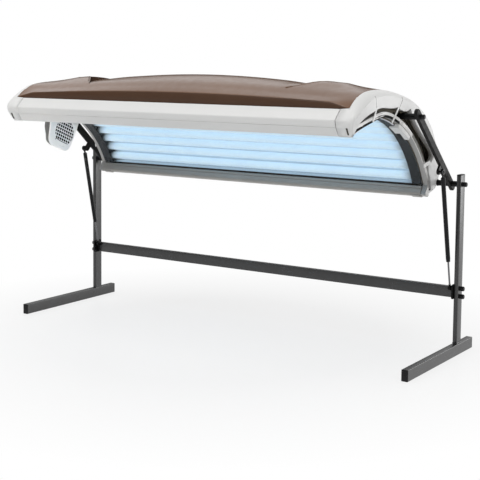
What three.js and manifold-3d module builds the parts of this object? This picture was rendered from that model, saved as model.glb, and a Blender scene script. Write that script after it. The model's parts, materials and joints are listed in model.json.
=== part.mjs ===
// Tanning canopy on a free-standing steel stand. Millimetres, +Z up, the open front faces -Y.
// The canopy is drawn level, about its pivot, and then turned open on the stand.
import * as THREE from 'three';
import { mergeVertices } from 'three/addons/utils/BufferGeometryUtils.js';
import Module from 'manifold-3d';

const wasm = await Module();
wasm.setup();

// Driving dimensions of the stand; Y counts from the front face of the posts.
const GAP = 0.3;
const WALL = 2;
const FOOT = { wide: 30, high: 50, front: -536, rear: 164, inner: 1053 };
const POST = { wide: 20, deep: 50, top: 815 };
const CAP = { thick: 4, plug: 12 };
const BAR = { front: 12, deep: 25, low: 255, high: 50, boltSpacing: 36 };
const PIVOT = { y: 25, z: 770 };
const KNOB = { radius: 11, long: 20 };
const PIN_RADIUS = 6;
const BOLT = { radius: 4, grip: 30 };

// Lift arms and gas springs.
const OPEN_ANGLE = THREE.MathUtils.degToRad(21);
const ARM = { wide: 36, inner: 1006, outer: 1022, tail: 40, tip: 42, clearance: 0.5, sleeveRadius: 13 };
const ARM_BOLT = { y: -447, z: 164 };
const ARM_STUD = { y: -154, z: 10, lugRadius: 14 };
const LOW_STUD = { y: 0, z: 300 };
const BRACKET = { thick: 6, front: -16, rear: 40, low: 252, high: 318 };
const SPRING = { x: 1034, eyeWide: 12, cylinderRadius: 10, boreRadius: 8, rodRadius: 4 };
const SPRING_STUD = { radius: 4, past: 2 };
const SPRING_BODY = { length: 420, eyeRadius: 13, eyeBore: 8, wall: 4, neck: 10, taper: 6 };
const SPRING_ROD = { length: 190, clearance: 0.4, eyeRadius: 11, eyeBore: 4.4, pistonRadius: 7.6, piston: 8 };

// Canopy section: the tanning surface is an arc with a straight run down to the front lip.
// The outer shell is a curve through a few points.
const ARCH = { y: -480, z: -450, radius: 562, front: -35.5, knee: -10, rear: 43.5 };
const ARCH_RUN = { lip: [-805, -38], start: [-685, 57], corner: [-640, 92.6] };
const SHEET_THICK = 3;
const LAMP = { count: 14, radius: 19, wall: 1.5, half: 882, circle: 592, first: 40.5, step: -5.65 };
const REFLECTOR = { radius: 617, thick: 1.5, half: 868 };
const BAND_HALF = 861;
const BAND = { lip: [-812, -52], low: [-827, -50], groove: [-857, -28], nose: [-876, -4], top: [-850, 53] };
const BAND_INNER = [[-836, 53], [-814, -10]];
const BAND_WALL = 3;
const SHELL_HALF = 903;
const SHELL_WALL = 3.5;
const SHELL_STEPS = 6;
const SHELL_CURVE = [
  [-852, 56], [-815, 109], [-747, 164], [-602, 224], [-371, 267], [-191, 245], [-72, 176],
  [8, 92], [27, 28], [18, -25], [-14, -58], [-52, -76],
];
const CROWN = { heights: [0, 33, 37, 55, 45, 36, 23, 12, 0, 0, 0, 0], power: 1.7 };
const STRIP = { middle: 50, fall: 0.48, knee: 840, end: 3 };
const POD = { mouth: 585, face: 605, flat: 760, end: 900, height: 20 };
const POD_SIDES = { front: [-830, -700], rear: [-520, -400] };
const END_CAP = { end: 950, wall: 4 };
const STRUTS = [[-709, 108, -719, 46, 10], [-511, 190, -551, 99, 10], [-112, 62, -170, 27, 18]];
const END_OPENING = [
  [-812, -52], [-799, 3], [-770, 45], [-741, 73], [-702, 105], [-658, 127], [-595, 147], [-555, 162],
  [-526, 176], [-498, 176], [-466, 180], [-433, 191], [-405, 212], [-380, 196], [-310, 167], [-240, 148],
  [-170, 132], [-115, 117], [-86, 97], [-98, 70], [-124, 46], [-109, 16], [-89, 0], [-66, -21], [-58, -45],
];
const END_RAIL = { inner: 922, outer: 945.7, low: 570, high: 592, corner: 16 };
const REAR_RAIL = { front: -99, rear: -56, low: -87, high: -45, half: 921 };
const END_PLATE = { inner: 892, thick: 4, inset: 9, socket: 17 };
const FLANGE = { from: 872, low: 566, high: 569 };
const CATCH = { low: 551, lip: 561.7, high: 569.7, inner: 898, seat: 922.3, outer: 945, from: 0.5, to: 13 };
const TRAY = { half: 620, front: -560, rear: -300, floor: 188, thick: 2, blocks: 7, block: [140, 180, 30] };
const FAN = { y: -420, z: 15.5, inner: 950.3, outer: 1000, pocket: 73.5, back: 4 };
const FAN_TABS = { thick: 6, low: 110, spans: [[-536, -500, 205], [-398, -362, 225]] };
const FAN_INLET = { count: 6, radius: 12, circle: 48 };
const GRILLE = { radius: 73, thick: 3, rim: 4, rows: 8, pitch: 16, slot: 11 };
const MOTOR = { radius: 22, long: 13 };
const IMPELLER = { hub: 24, blades: 7, tip: 64, root: 20, wide: 22, thick: 2, twist: 0.7, from: 18, to: 38 };
const FAN_OUTLINE = { y: -437, top: 146, shoulder: 60, shoulderHalf: 104, lowHalf: 84, low: -75, corner: 46 };
const INLET = { x: -600, y: 28.6, z: 30, wide: 44, high: 30, thick: 5, radius: 11, bore: 4.5, end: 56 };

const SIDES = { left: -1, right: 1 };

// Finishes.
const finish = (color, roughness, metalness) => ({ color, roughness, metalness });
const STEEL = finish(0x4a4a4c, 0.45, 0.7);
const BLACK = finish(0x18181a, 0.5, 0);
const ROD_STEEL = finish(0xb8babc, 0.2, 1);
const BROWN = finish(0x7d6a5c, 0.25, 0.5);
const WHITE = finish(0xe8e8e6, 0.4, 0);
const GREY = finish(0x8a8a8a, 0.4, 0.5);
const CHARCOAL = finish(0x2c2d30, 0.6, 0.1);
const CLEAR = finish(0xd8ecf4, 0.1, 0);
const GLOW = finish(0xcfe6fa, 0.3, 0);
const ALUMINIUM = finish(0xc8ccd0, 0.25, 1);

// Solids from geometry, and back.
function toSolid(geometry) {
  const bare = geometry.clone();
  bare.deleteAttribute('normal');
  bare.deleteAttribute('uv');
  const merged = mergeVertices(bare, 1e-4);
  const vertProperties = Float32Array.from(merged.attributes.position.array);
  const triVerts = Uint32Array.from(merged.index.array);
  return new wasm.Manifold(new wasm.Mesh({ numProp: 3, vertProperties, triVerts }));
}

function toGeometry(solid) {
  const mesh = solid.getMesh();
  const geometry = new THREE.BufferGeometry();
  geometry.setAttribute('position', new THREE.BufferAttribute(mesh.vertProperties, 3));
  geometry.setIndex(new THREE.BufferAttribute(mesh.triVerts, 1));
  return geometry;
}

function join(first, ...others) {
  return toGeometry(others.reduce((sum, other) => sum.add(toSolid(other)), toSolid(first)));
}

function cut(first, ...others) {
  return toGeometry(others.reduce((rest, other) => rest.subtract(toSolid(other)), toSolid(first)));
}

// A solid from faces wound either way: turned outward if its volume comes out negative.
function closedSolid(positions, faces) {
  const at = (i) => new THREE.Vector3().fromArray(positions, 3 * i);
  const volume = faces.reduce((sum, [a, b, c]) => sum + at(a).dot(at(b).cross(at(c))), 0);
  const outward = volume > 0 ? faces : faces.map(([a, b, c]) => [a, c, b]);
  const geometry = new THREE.BufferGeometry();
  geometry.setAttribute('position', new THREE.BufferAttribute(Float32Array.from(positions), 3));
  geometry.setIndex(outward.flat());
  return geometry;
}

// Extrusions: a (Y, Z) outline along X, an (X, Z) outline along Y, an (X, Y) outline along Z.
const YZ_TO_X = new THREE.Matrix4().set(0, 0, 1, 0, 1, 0, 0, 0, 0, 1, 0, 0, 0, 0, 0, 1);
const XZ_TO_Y = new THREE.Matrix4().set(1, 0, 0, 0, 0, 0, -1, 0, 0, 1, 0, 0, 0, 0, 0, 1);

function extrude(shape, depth, curveSegments) {
  return new THREE.ExtrudeGeometry(shape, { depth, bevelEnabled: false, curveSegments });
}

function alongX(shape, x0, x1, curveSegments = 8) {
  const geometry = extrude(shape, Math.abs(x1 - x0), curveSegments);
  return geometry.applyMatrix4(YZ_TO_X).translate(Math.min(x0, x1), 0, 0);
}

function alongY(shape, y0, y1) {
  return extrude(shape, y1 - y0, 8).applyMatrix4(XZ_TO_Y).translate(0, y1, 0);
}

function alongZ(shape, z0, z1) {
  return extrude(shape, z1 - z0, 8).translate(0, 0, z0);
}

function outline(points) {
  return new THREE.Shape(points.map(([a, b]) => new THREE.Vector2(a, b)));
}

function rectangle(a0, b0, a1, b1) {
  return outline([[a0, b0], [a1, b0], [a1, b1], [a0, b1]]);
}

function tubeSection(a0, b0, a1, b1, wall) {
  const shape = rectangle(a0, b0, a1, b1);
  shape.holes.push(rectangle(a0 + wall, b0 + wall, a1 - wall, b1 - wall));
  return shape;
}

function disc(a, b, radius, bore = 0) {
  const shape = new THREE.Shape();
  shape.absarc(a, b, radius, 0, 2 * Math.PI);
  if (bore) {
    const hole = new THREE.Path();
    hole.absarc(a, b, bore, 0, 2 * Math.PI);
    shape.holes.push(hole);
  }
  return shape;
}

function box(x0, x1, y0, y1, z0, z1) {
  const low = [Math.min(x0, x1), Math.min(y0, y1), Math.min(z0, z1)];
  const size = [Math.abs(x1 - x0), Math.abs(y1 - y0), Math.abs(z1 - z0)];
  const centre = low.map((v, i) => v + size[i] / 2);
  return new THREE.BoxGeometry(...size).translate(...centre);
}

// A point of the arch at a radius and an angle from its top, positive to the rear.
function onArch(radius, degrees) {
  const angle = THREE.MathUtils.degToRad(degrees);
  return [ARCH.y + radius * Math.sin(angle), ARCH.z + radius * Math.cos(angle)];
}

function arc(radius, from, to, steps) {
  return Array.from({ length: steps + 1 }, (_, i) => onArch(radius, from + ((to - from) * i) / steps));
}

function archBand(low, high, from, to, steps = 28) {
  return outline([...arc(high, from, to, steps), ...arc(low, to, from, steps)]);
}

// The tanning surface seen from the end, or a line beside it: the front run, a soft corner and the arc.
function archLine(radius, rear = ARCH.rear) {
  const vector = ([y, z]) => new THREE.Vector2(y, z);
  const ends = [ARCH_RUN.start, ARCH_RUN.corner, onArch(ARCH.radius, ARCH.knee)].map(vector);
  const bend = new THREE.QuadraticBezierCurve(...ends).getPoints(5).map((p) => [p.x, p.y]);
  const front = offset([ARCH_RUN.lip, ...bend], ARCH.radius - radius);
  return [...front, ...arc(radius, ARCH.knee + 2, rear, 22)];
}

function archSkin(low, high, rear = ARCH.rear) {
  return outline([...archLine(high, rear), ...archLine(low, rear).reverse()]);
}

// An outline moved sideways with mitred corners: positive distances go to the right of its run, inwards.
function offset(points, distance, closed = false) {
  const count = points.length;
  const normal = ([y0, z0], [y1, z1]) => {
    const run = Math.hypot(y1 - y0, z1 - z0);
    return [(z1 - z0) / run, (y0 - y1) / run];
  };
  return points.map((point, i) => {
    const first = closed || i > 0 ? normal(points[(i + count - 1) % count], point) : normal(point, points[1]);
    const second = closed || i + 1 < count ? normal(point, points[(i + 1) % count]) : first;
    const mitre = distance / (1 + first[0] * second[0] + first[1] * second[1]);
    return [point[0] + mitre * (first[0] + second[0]), point[1] + mitre * (first[1] + second[1])];
  });
}

function curve(points, steps) {
  const spline = new THREE.SplineCurve(points.map(([y, z]) => new THREE.Vector2(y, z)));
  return spline.getPoints((points.length - 1) * steps).map((p) => [p.x, p.y]);
}

const object = new THREE.Group();
const stand = new THREE.Group();
const canopy = new THREE.Group();
canopy.position.set(0, PIVOT.y, PIVOT.z);
canopy.rotation.x = -OPEN_ANGLE;
object.add(stand, canopy);

function add(parent, name, geometry, look) {
  const mesh = new THREE.Mesh(geometry, new THREE.MeshStandardMaterial(look));
  mesh.name = name;
  parent.add(mesh);
  return mesh;
}

// Stand: feet, posts, caps, cross bar and its bolts.
const postOuter = FOOT.inner + POST.wide;
const barMiddleY = BAR.front + BAR.deep / 2;
const boltHeights = [-1, 1].map((end) => BAR.low + BAR.high / 2 + (end * BAR.boltSpacing) / 2);

function footCap(side, end) {
  const [x0, x1] = [side * FOOT.inner, side * (FOOT.inner + FOOT.wide)].sort((a, b) => a - b);
  const face = end < 0 ? FOOT.front : FOOT.rear;
  const inside = WALL + GAP;
  const plate = box(x0, x1, face, face - end * CAP.thick, 0, FOOT.high);
  const depth = end * (CAP.thick + CAP.plug);
  const plug = box(x0 + inside, x1 - inside, face, face - depth, inside, FOOT.high - inside);
  return join(plate, plug);
}

function post(side) {
  const [x0, x1] = [side * FOOT.inner, side * postOuter].sort((a, b) => a - b);
  const section = tubeSection(x0, 0, x1, POST.deep, WALL);
  const tube = alongZ(section, FOOT.high + GAP, POST.top - CAP.thick - GAP);
  const bore = (y, z, radius) => alongX(disc(y, z, radius + GAP), x0 - 1, x1 + 1, 6);
  return cut(
    tube,
    bore(PIVOT.y, PIVOT.z, PIN_RADIUS),
    ...boltHeights.map((z) => bore(barMiddleY, z, BOLT.radius)),
  );
}

function postCap(side) {
  const [x0, x1] = [side * FOOT.inner, side * postOuter].sort((a, b) => a - b);
  const inside = WALL + GAP;
  const plate = box(x0, x1, 0, POST.deep, POST.top - CAP.thick, POST.top);
  const low = POST.top - CAP.thick - CAP.plug;
  const plug = box(x0 + inside, x1 - inside, inside, POST.deep - inside, low, POST.top);
  return join(plate, plug);
}

// A bolt along X through a bore: shank towards the middle, head on the outside.
function bolt(side, y, z, radius, inner, seat, headRadius, headLong) {
  const shank = alongX(disc(y, z, radius), side * inner, side * (seat + 1), 6);
  const head = alongX(disc(y, z, headRadius), side * seat, side * (seat + headLong), 8);
  return join(shank, head);
}

// The lower spring bracket: a plate with a stud, held between the post and the bar by the bar's bolts.
function springBracket(side) {
  const plateOuter = FOOT.inner - GAP;
  const plateInner = plateOuter - BRACKET.thick;
  const studEnd = SPRING.x - SPRING.eyeWide / 2 - SPRING_STUD.past;
  const { front, rear, low, high } = BRACKET;
  const plate = box(side * plateInner, side * plateOuter, front, rear, low, high);
  const studSection = disc(LOW_STUD.y, LOW_STUD.z, SPRING_STUD.radius);
  const stud = alongX(studSection, side * studEnd, side * (plateInner + 1), 6);
  const bores = boltHeights.map((z) =>
    alongX(disc(barMiddleY, z, BOLT.radius + GAP), side * (plateInner - 1), side * (plateOuter + 1), 6));
  return cut(join(plate, stud), ...bores);
}

for (const [name, side] of Object.entries(SIDES)) {
  const [x0, x1] = [side * FOOT.inner, side * (FOOT.inner + FOOT.wide)].sort((a, b) => a - b);
  const footSection = tubeSection(x0, 0, x1, FOOT.high, WALL);
  const footEnds = [FOOT.front + CAP.thick + GAP, FOOT.rear - CAP.thick - GAP];
  add(stand, `${name}_foot`, alongY(footSection, ...footEnds), STEEL);
  add(stand, `${name}_foot_front_cap`, footCap(side, -1), BLACK);
  add(stand, `${name}_foot_rear_cap`, footCap(side, 1), BLACK);
  add(stand, `${name}_post`, post(side), STEEL);
  add(stand, `${name}_post_cap`, postCap(side), BLACK);
  const seat = postOuter + GAP;
  ['lower', 'upper'].forEach((row, i) => {
    const inner = FOOT.inner - BOLT.grip;
    const sizes = [BOLT.radius, inner, seat, KNOB.radius, KNOB.long];
    add(stand, `${name}_bar_bolt_${row}`, bolt(side, barMiddleY, boltHeights[i], ...sizes), BLACK);
  });
  add(stand, `${name}_spring_bracket`, springBracket(side), BLACK);
  const pivotSizes = [PIN_RADIUS, END_PLATE.inner - GAP, seat, KNOB.radius, KNOB.long];
  add(stand, `${name}_pivot_bolt`, bolt(side, PIVOT.y, PIVOT.z, ...pivotSizes), BLACK);
}

const barHalf = FOOT.inner - BRACKET.thick - 2 * GAP;
const barSection = tubeSection(BAR.front, BAR.low, BAR.front + BAR.deep, BAR.low + BAR.high, WALL);
add(stand, 'cross_bar', alongX(barSection, -barHalf, barHalf), STEEL);

// Lift arms: a flat bar with sleeves, a pivot boss and the upper spring bracket welded on, drawn level.
function arm(side) {
  const { wide, inner, outer, tail, tip, clearance, sleeveRadius } = ARM;
  const run = Math.hypot(ARM_BOLT.y, ARM_BOLT.z);
  const [ay, az] = [ARM_BOLT.y / run, ARM_BOLT.z / run];
  const half = wide / 2;
  const start = half - tail;
  const end = run + tip - half;
  const heading = Math.atan2(az, ay);
  const shape = new THREE.Shape();
  shape.absarc(ay * start, az * start, half, heading + Math.PI / 2, heading + 1.5 * Math.PI);
  shape.absarc(ay * end, az * end, half, heading - Math.PI / 2, heading + Math.PI / 2);
  const bar = alongX(shape, side * inner, side * outer, 5);
  const along = ARM_STUD.y * ay + ARM_STUD.z * az;
  const { lugRadius } = ARM_STUD;
  const foot = [[along * ay, along * az], [ARM_STUD.y, ARM_STUD.z]];
  const lugLine = outline([...offset(foot, lugRadius), ...offset(foot, -lugRadius).reverse()]);
  const lugRound = disc(ARM_STUD.y, ARM_STUD.z, lugRadius);
  const lugs = [lugLine, lugRound].map((section) => alongX(section, side * inner, side * outer, 6));
  const studEnd = SPRING.x + SPRING.eyeWide / 2 + SPRING_STUD.past;
  const studSection = disc(ARM_STUD.y, ARM_STUD.z, SPRING_STUD.radius);
  const stud = alongX(studSection, side * (outer - 1), side * studEnd, 6);
  const bossEnds = [END_CAP.end + GAP, FOOT.inner - clearance];
  const sleeveEnds = [END_PLATE.inner + END_PLATE.thick + GAP, inner + 1];
  const sleeve = (y, z, [from, to]) => alongX(disc(y, z, sleeveRadius), side * from, side * to, 6);
  const boreEnds = [side * (END_PLATE.inner - 1), side * (FOOT.inner + 1)];
  const bore = (y, z) => alongX(disc(y, z, PIN_RADIUS + GAP), ...boreEnds, 6);
  const sleeves = [sleeve(0, 0, bossEnds), sleeve(ARM_BOLT.y, ARM_BOLT.z, sleeveEnds)];
  return cut(join(bar, ...lugs, stud, ...sleeves), bore(0, 0), bore(ARM_BOLT.y, ARM_BOLT.z));
}

for (const [name, side] of Object.entries(SIDES)) {
  add(canopy, `${name}_arm`, arm(side), STEEL);
  const seat = ARM.outer + GAP;
  const sizes = [PIN_RADIUS, END_PLATE.inner - GAP, seat, KNOB.radius, KNOB.long];
  add(canopy, `${name}_arm_bolt`, bolt(side, ARM_BOLT.y, ARM_BOLT.z, ...sizes), BLACK);
}

// Gas springs, upright along Z from the lower stud and then leaned to the arm's stud.
function lathe(profile) {
  const points = profile.map(([radius, along]) => new THREE.Vector2(radius, along));
  return new THREE.LatheGeometry(points, 12).rotateX(Math.PI / 2);
}

function ring(along, radius, bore) {
  return alongX(disc(0, along, radius, bore), -SPRING.eyeWide / 2, SPRING.eyeWide / 2, 8);
}

const turned = new THREE.Vector2(ARM_STUD.y, ARM_STUD.z).rotateAround(new THREE.Vector2(), -OPEN_ANGLE);
const springRise = PIVOT.z + turned.y - LOW_STUD.z;
const springReach = LOW_STUD.y - PIVOT.y - turned.x;
const springLean = Math.atan2(springReach, springRise);
const springLength = Math.hypot(springReach, springRise);

function springBody() {
  const { cylinderRadius: outer, boreRadius: inner, rodRadius: rod } = SPRING;
  const { length, eyeRadius, eyeBore, wall, neck, taper } = SPRING_BODY;
  const low = springLength - length;
  const top = springLength - (eyeRadius + eyeBore) / 2;
  const shoulder = top - neck - taper;
  const mouth = rod + SPRING_ROD.clearance;
  const tube = lathe([
    [0, shoulder - wall], [inner, shoulder - wall], [inner, low + wall], [mouth, low + wall], [mouth, low],
    [outer, low], [outer, shoulder], [outer / 2, top - neck], [outer / 2, top], [0, top],
  ]);
  return join(tube, ring(springLength, eyeRadius, eyeBore));
}

function springRod() {
  const { length: top, eyeRadius, eyeBore, pistonRadius, piston } = SPRING_ROD;
  const foot = (eyeRadius + eyeBore) / 2;
  const rod = lathe([
    [0, foot], [SPRING.rodRadius, foot], [SPRING.rodRadius, top - piston],
    [pistonRadius, top - piston], [pistonRadius, top], [0, top],
  ]);
  return join(rod, ring(0, eyeRadius, eyeBore));
}

for (const [name, side] of Object.entries(SIDES)) {
  const spring = new THREE.Group();
  spring.position.set(side * SPRING.x, LOW_STUD.y, LOW_STUD.z);
  spring.rotation.x = springLean;
  object.add(spring);
  add(spring, `${name}_spring_cylinder`, springBody(), BLACK);
  add(spring, `${name}_spring_rod`, springRod(), ROD_STEEL);
}

// Top shell: a thin crowned skin. Its front stands up as a strip from the band to a crease.
function stripHeight(x) {
  const reach = Math.min(Math.abs(x), STRIP.knee);
  const height = STRIP.middle * (1 - STRIP.fall * (reach / STRIP.knee) ** 2);
  const taper = Math.max(0, (Math.abs(x) - STRIP.knee) / (SHELL_HALF - STRIP.knee));
  return height + taper * (STRIP.end - height);
}

const ramp = (from, to, value) => THREE.MathUtils.clamp((value - from) / (to - from), 0, 1);

function podHeight(x, y) {
  const across = ramp(...POD_SIDES.front, y) * ramp(POD_SIDES.rear[1], POD_SIDES.rear[0], y);
  const along = ramp(POD.mouth, POD.face, Math.abs(x)) * ramp(POD.end, POD.flat, Math.abs(x));
  return POD.height * across * along;
}

function shellLine(x) {
  const crown = (1 - (x / SHELL_HALF) ** 2) ** CROWN.power;
  const points = SHELL_CURVE.map(([y, z], i) => [y, z + CROWN.heights[i] * crown]);
  points[0][1] = BAND.top[1] + stripHeight(x);
  const roof = curve(points, 3).map(([y, z]) => [y, z + podHeight(x, y)]);
  return [[BAND.top[0], BAND.top[1] + GAP], ...roof];
}

function topShell() {
  const podMiddle = (POD.face + POD.flat) / 2;
  const taperMiddle = (STRIP.knee + POD.end) / 2;
  const middle = Array.from({ length: SHELL_STEPS }, (_, i) => (i * POD.mouth) / SHELL_STEPS);
  const pod = [POD.mouth, POD.face, podMiddle, POD.flat, STRIP.knee, taperMiddle, POD.end, SHELL_HALF];
  const half = [...middle, ...pod];
  const stations = [...half.slice(1).reverse().map((x) => -x), ...half];
  const positions = [];
  const skins = [0, SHELL_WALL].map((depth) => stations.map((x) => offset(shellLine(x), depth)));
  for (const skin of skins) {
    skin.forEach((line, i) => line.forEach(([y, z]) => positions.push(stations[i], y, z)));
  }
  const rows = stations.length;
  const columns = skins[0][0].length;
  const at = (skin, i, j) => (skin * rows + i) * columns + j;
  const faces = [];
  const quad = (a, b, c, d) => faces.push([a, b, c], [a, c, d]);
  for (let i = 0; i + 1 < rows; i += 1) {
    for (let j = 0; j + 1 < columns; j += 1) {
      quad(at(0, i, j), at(0, i + 1, j), at(0, i + 1, j + 1), at(0, i, j + 1));
      quad(at(1, i, j), at(1, i, j + 1), at(1, i + 1, j + 1), at(1, i + 1, j));
    }
    const last = columns - 1;
    quad(at(0, i, 0), at(1, i, 0), at(1, i + 1, 0), at(0, i + 1, 0));
    quad(at(0, i, last), at(0, i + 1, last), at(1, i + 1, last), at(1, i, last));
  }
  for (let j = 0; j + 1 < columns; j += 1) {
    const end = rows - 1;
    quad(at(0, 0, j), at(0, 0, j + 1), at(1, 0, j + 1), at(1, 0, j));
    quad(at(0, end, j), at(1, end, j), at(1, end, j + 1), at(0, end, j + 1));
  }
  return closedSolid(positions, faces);
}

add(canopy, 'top_shell', topShell(), BROWN);

// Front band: a hollow white extrusion under the shell's front edge.
function frontBand() {
  const outer = [BAND.lip, BAND.low, BAND.groove, BAND.nose, BAND.top, ...BAND_INNER];
  const shape = outline(outer);
  shape.holes.push(outline(offset(outer, BAND_WALL, true).reverse()));
  return alongX(shape, -BAND_HALF, BAND_HALF);
}

add(canopy, 'front_band', frontBand(), WHITE);

// End caps: a wall that carries on the shell, an end face with an arched vent opening, struts and a tab.
const bandLine = [BAND.lip, BAND.low, BAND.groove, BAND.nose, BAND.top];
const capRoof = curve(SHELL_CURVE, 3);
const capLine = [...bandLine, ...capRoof];

function skinAlong(line, thick) {
  return outline([...line, ...offset(line, thick).reverse()]);
}

function endCap(side) {
  const { end, wall } = END_CAP;
  const wallPiece = alongX(skinAlong(capLine, wall), side * (SHELL_HALF + GAP), side * end);
  const bandPiece = alongX(skinAlong(bandLine, wall), side * (BAND_HALF + GAP), side * (SHELL_HALF + 1));
  const opening = curve(END_OPENING, 2);
  const face = alongX(outline([...capLine, ...opening.reverse()]), side * (end - wall), side * end);
  const bars = STRUTS.map(([y0, z0, y1, z1, wide]) => {
    const line = [[y0, z0], [y1, z1]];
    const shape = outline([...offset(line, wide / 2), ...offset(line, -wide / 2).reverse()]);
    return alongX(shape, side * (end - wall), side * end);
  });
  const bore = alongX(disc(0, 0, PIN_RADIUS + GAP), side * (end - wall - 1), side * (end + 1), 6);
  return cut(join(wallPiece, bandPiece, face, ...bars), bore);
}

// End plates: they hold the lamp sockets and take the arm bolts; a flange shows beside the lamps.
const lampAngles = Array.from({ length: LAMP.count }, (_, i) => LAMP.first + i * LAMP.step);

function endPlate(side) {
  const { inner, thick, inset, socket } = END_PLATE;
  const rim = offset(capRoof.slice(1, -5), inset);
  const rear = ARCH.rear - 0.5;
  const line = [...rim, [-50, -40], ...archLine(FLANGE.low, rear).reverse()];
  const plate = alongX(outline(line), side * inner, side * (inner + thick));
  const flangeShape = archSkin(FLANGE.low, FLANGE.high, rear);
  const flange = alongX(flangeShape, side * FLANGE.from, side * (END_RAIL.inner - GAP));
  const sockets = lampAngles.map((angle) =>
    alongX(disc(...onArch(LAMP.circle, angle), socket), side * (LAMP.half + GAP), side * (inner + 1), 6));
  const bores = [[0, 0], [ARM_BOLT.y, ARM_BOLT.z]].map(([y, z]) =>
    alongX(disc(y, z, PIN_RADIUS + GAP), side * (inner - 1), side * (inner + thick + 1), 6));
  return cut(join(plate, flange, ...sockets), ...bores);
}

// End rails: an arched trim that turns down to the rear rail's height in a rounded corner.
function endRail(side) {
  const { inner, outer, low, high, corner } = END_RAIL;
  const shape = outline(archLine(high, ARCH.rear - 2));
  shape.lineTo(REAR_RAIL.rear, REAR_RAIL.low + corner);
  shape.absarc(REAR_RAIL.rear - corner, REAR_RAIL.low + corner, corner, 0, -Math.PI / 2, true);
  shape.lineTo(REAR_RAIL.front, REAR_RAIL.low);
  archLine(low).reverse().forEach(([y, z]) => shape.lineTo(y, z));
  return alongX(shape, side * inner, side * outer);
}

// Sheet catches: a block inside the rail with a lip under the sheet's edge.
function sheetCatch(side) {
  const { low, lip, high, inner, seat, outer, from, to } = CATCH;
  const block = alongX(archBand(low, high, from, to, 3), side * seat, side * outer);
  return join(block, alongX(archBand(low, lip, from, to, 3), side * inner, side * (seat + 1)));
}

for (const [name, side] of Object.entries(SIDES)) {
  add(canopy, `${name}_end_cap`, endCap(side), WHITE);
  add(canopy, `${name}_end_plate`, endPlate(side), CHARCOAL);
  add(canopy, `${name}_end_rail`, endRail(side), GREY);
  add(canopy, `${name}_sheet_catch`, sheetCatch(side), WHITE);
}

const railSection = tubeSection(REAR_RAIL.front, REAR_RAIL.low, REAR_RAIL.rear, REAR_RAIL.high, WALL);
add(canopy, 'rear_rail', alongX(railSection, -REAR_RAIL.half, REAR_RAIL.half), GREY);

// Inside: sheet, lamps, reflector and ballasts.
const sheetShape = archSkin(ARCH.radius, ARCH.radius + SHEET_THICK);
const sheetHalf = END_RAIL.inner - GAP;
add(canopy, 'acrylic_sheet', alongX(sheetShape, -sheetHalf, sheetHalf), CLEAR);

lampAngles.forEach((angle, i) => {
  const section = disc(...onArch(LAMP.circle, angle), LAMP.radius, LAMP.radius - LAMP.wall);
  const name = `lamp_${String(i + 1).padStart(2, '0')}`;
  add(canopy, name, alongX(section, -LAMP.half, LAMP.half, 6), GLOW);
});

const reflectorHigh = REFLECTOR.radius + REFLECTOR.thick;
const reflectorShape = archBand(REFLECTOR.radius, reflectorHigh, ARCH.front + 0.5, ARCH.rear - 1);
add(canopy, 'reflector', alongX(reflectorShape, -REFLECTOR.half, REFLECTOR.half), ALUMINIUM);

function ballastTray() {
  const { half, front, rear, floor, thick, blocks, block } = TRAY;
  const seat = (y) => ARCH.z + Math.sqrt((reflectorHigh + 1) ** 2 - (y - ARCH.y) ** 2);
  const shape = outline([
    [front, seat(front)], [front, floor + thick], [rear, floor + thick], [rear, seat(rear)],
    [rear - thick, seat(rear - thick)], [rear - thick, floor],
    [front + thick, floor], [front + thick, seat(front + thick)],
  ]);
  const pitch = (2 * half - block[0]) / (blocks - 1);
  const middle = (front + rear) / 2;
  const ballasts = Array.from({ length: blocks }, (_, i) => {
    const x0 = -half + i * pitch;
    const y = [middle - block[1] / 2, middle + block[1] / 2];
    return box(x0, x0 + block[0], ...y, floor + 1, floor + thick + block[2]);
  });
  return join(alongX(shape, -half, half), ...ballasts);
}

add(canopy, 'ballast_tray', ballastTray(), ALUMINIUM);

// Body fan, hung on the left end face by two tabs, with its grille towards the tunnel.
function fanHousing() {
  const { y, z, inner, outer, pocket, back } = FAN;
  const { y: middle, top, shoulder, shoulderHalf, lowHalf, low, corner } = FAN_OUTLINE;
  const shape = new THREE.Shape();
  shape.moveTo(middle - shoulderHalf, shoulder);
  shape.lineTo(middle - lowHalf - 2, low + corner);
  shape.quadraticCurveTo(middle - lowHalf + 6, low, middle - lowHalf + corner, low);
  shape.lineTo(middle + lowHalf - corner, low);
  shape.quadraticCurveTo(middle + lowHalf - 6, low, middle + lowHalf + 2, low + corner);
  shape.lineTo(middle + shoulderHalf, shoulder);
  shape.lineTo(middle + shoulderHalf, top - corner);
  shape.quadraticCurveTo(middle + shoulderHalf, top, middle + shoulderHalf - corner, top);
  shape.lineTo(middle - shoulderHalf + corner, top);
  shape.quadraticCurveTo(middle - shoulderHalf, top, middle - shoulderHalf, top - corner);
  const tabs = FAN_TABS.spans.map(([front, rear, high]) =>
    box(-inner - FAN_TABS.thick, -inner, front, rear, FAN_TABS.low, high));
  const bowl = alongX(disc(y, z, pocket), -outer + back, -inner + 1, 12);
  const inlets = Array.from({ length: FAN_INLET.count }, (_, i) => {
    const angle = (2 * Math.PI * i) / FAN_INLET.count;
    const place = [y + FAN_INLET.circle * Math.cos(angle), z + FAN_INLET.circle * Math.sin(angle)];
    return alongX(disc(...place, FAN_INLET.radius), -outer - 1, -outer + back + 1, 5);
  });
  return cut(join(alongX(shape, -outer, -inner, 4), ...tabs), bowl, ...inlets);
}

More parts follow.
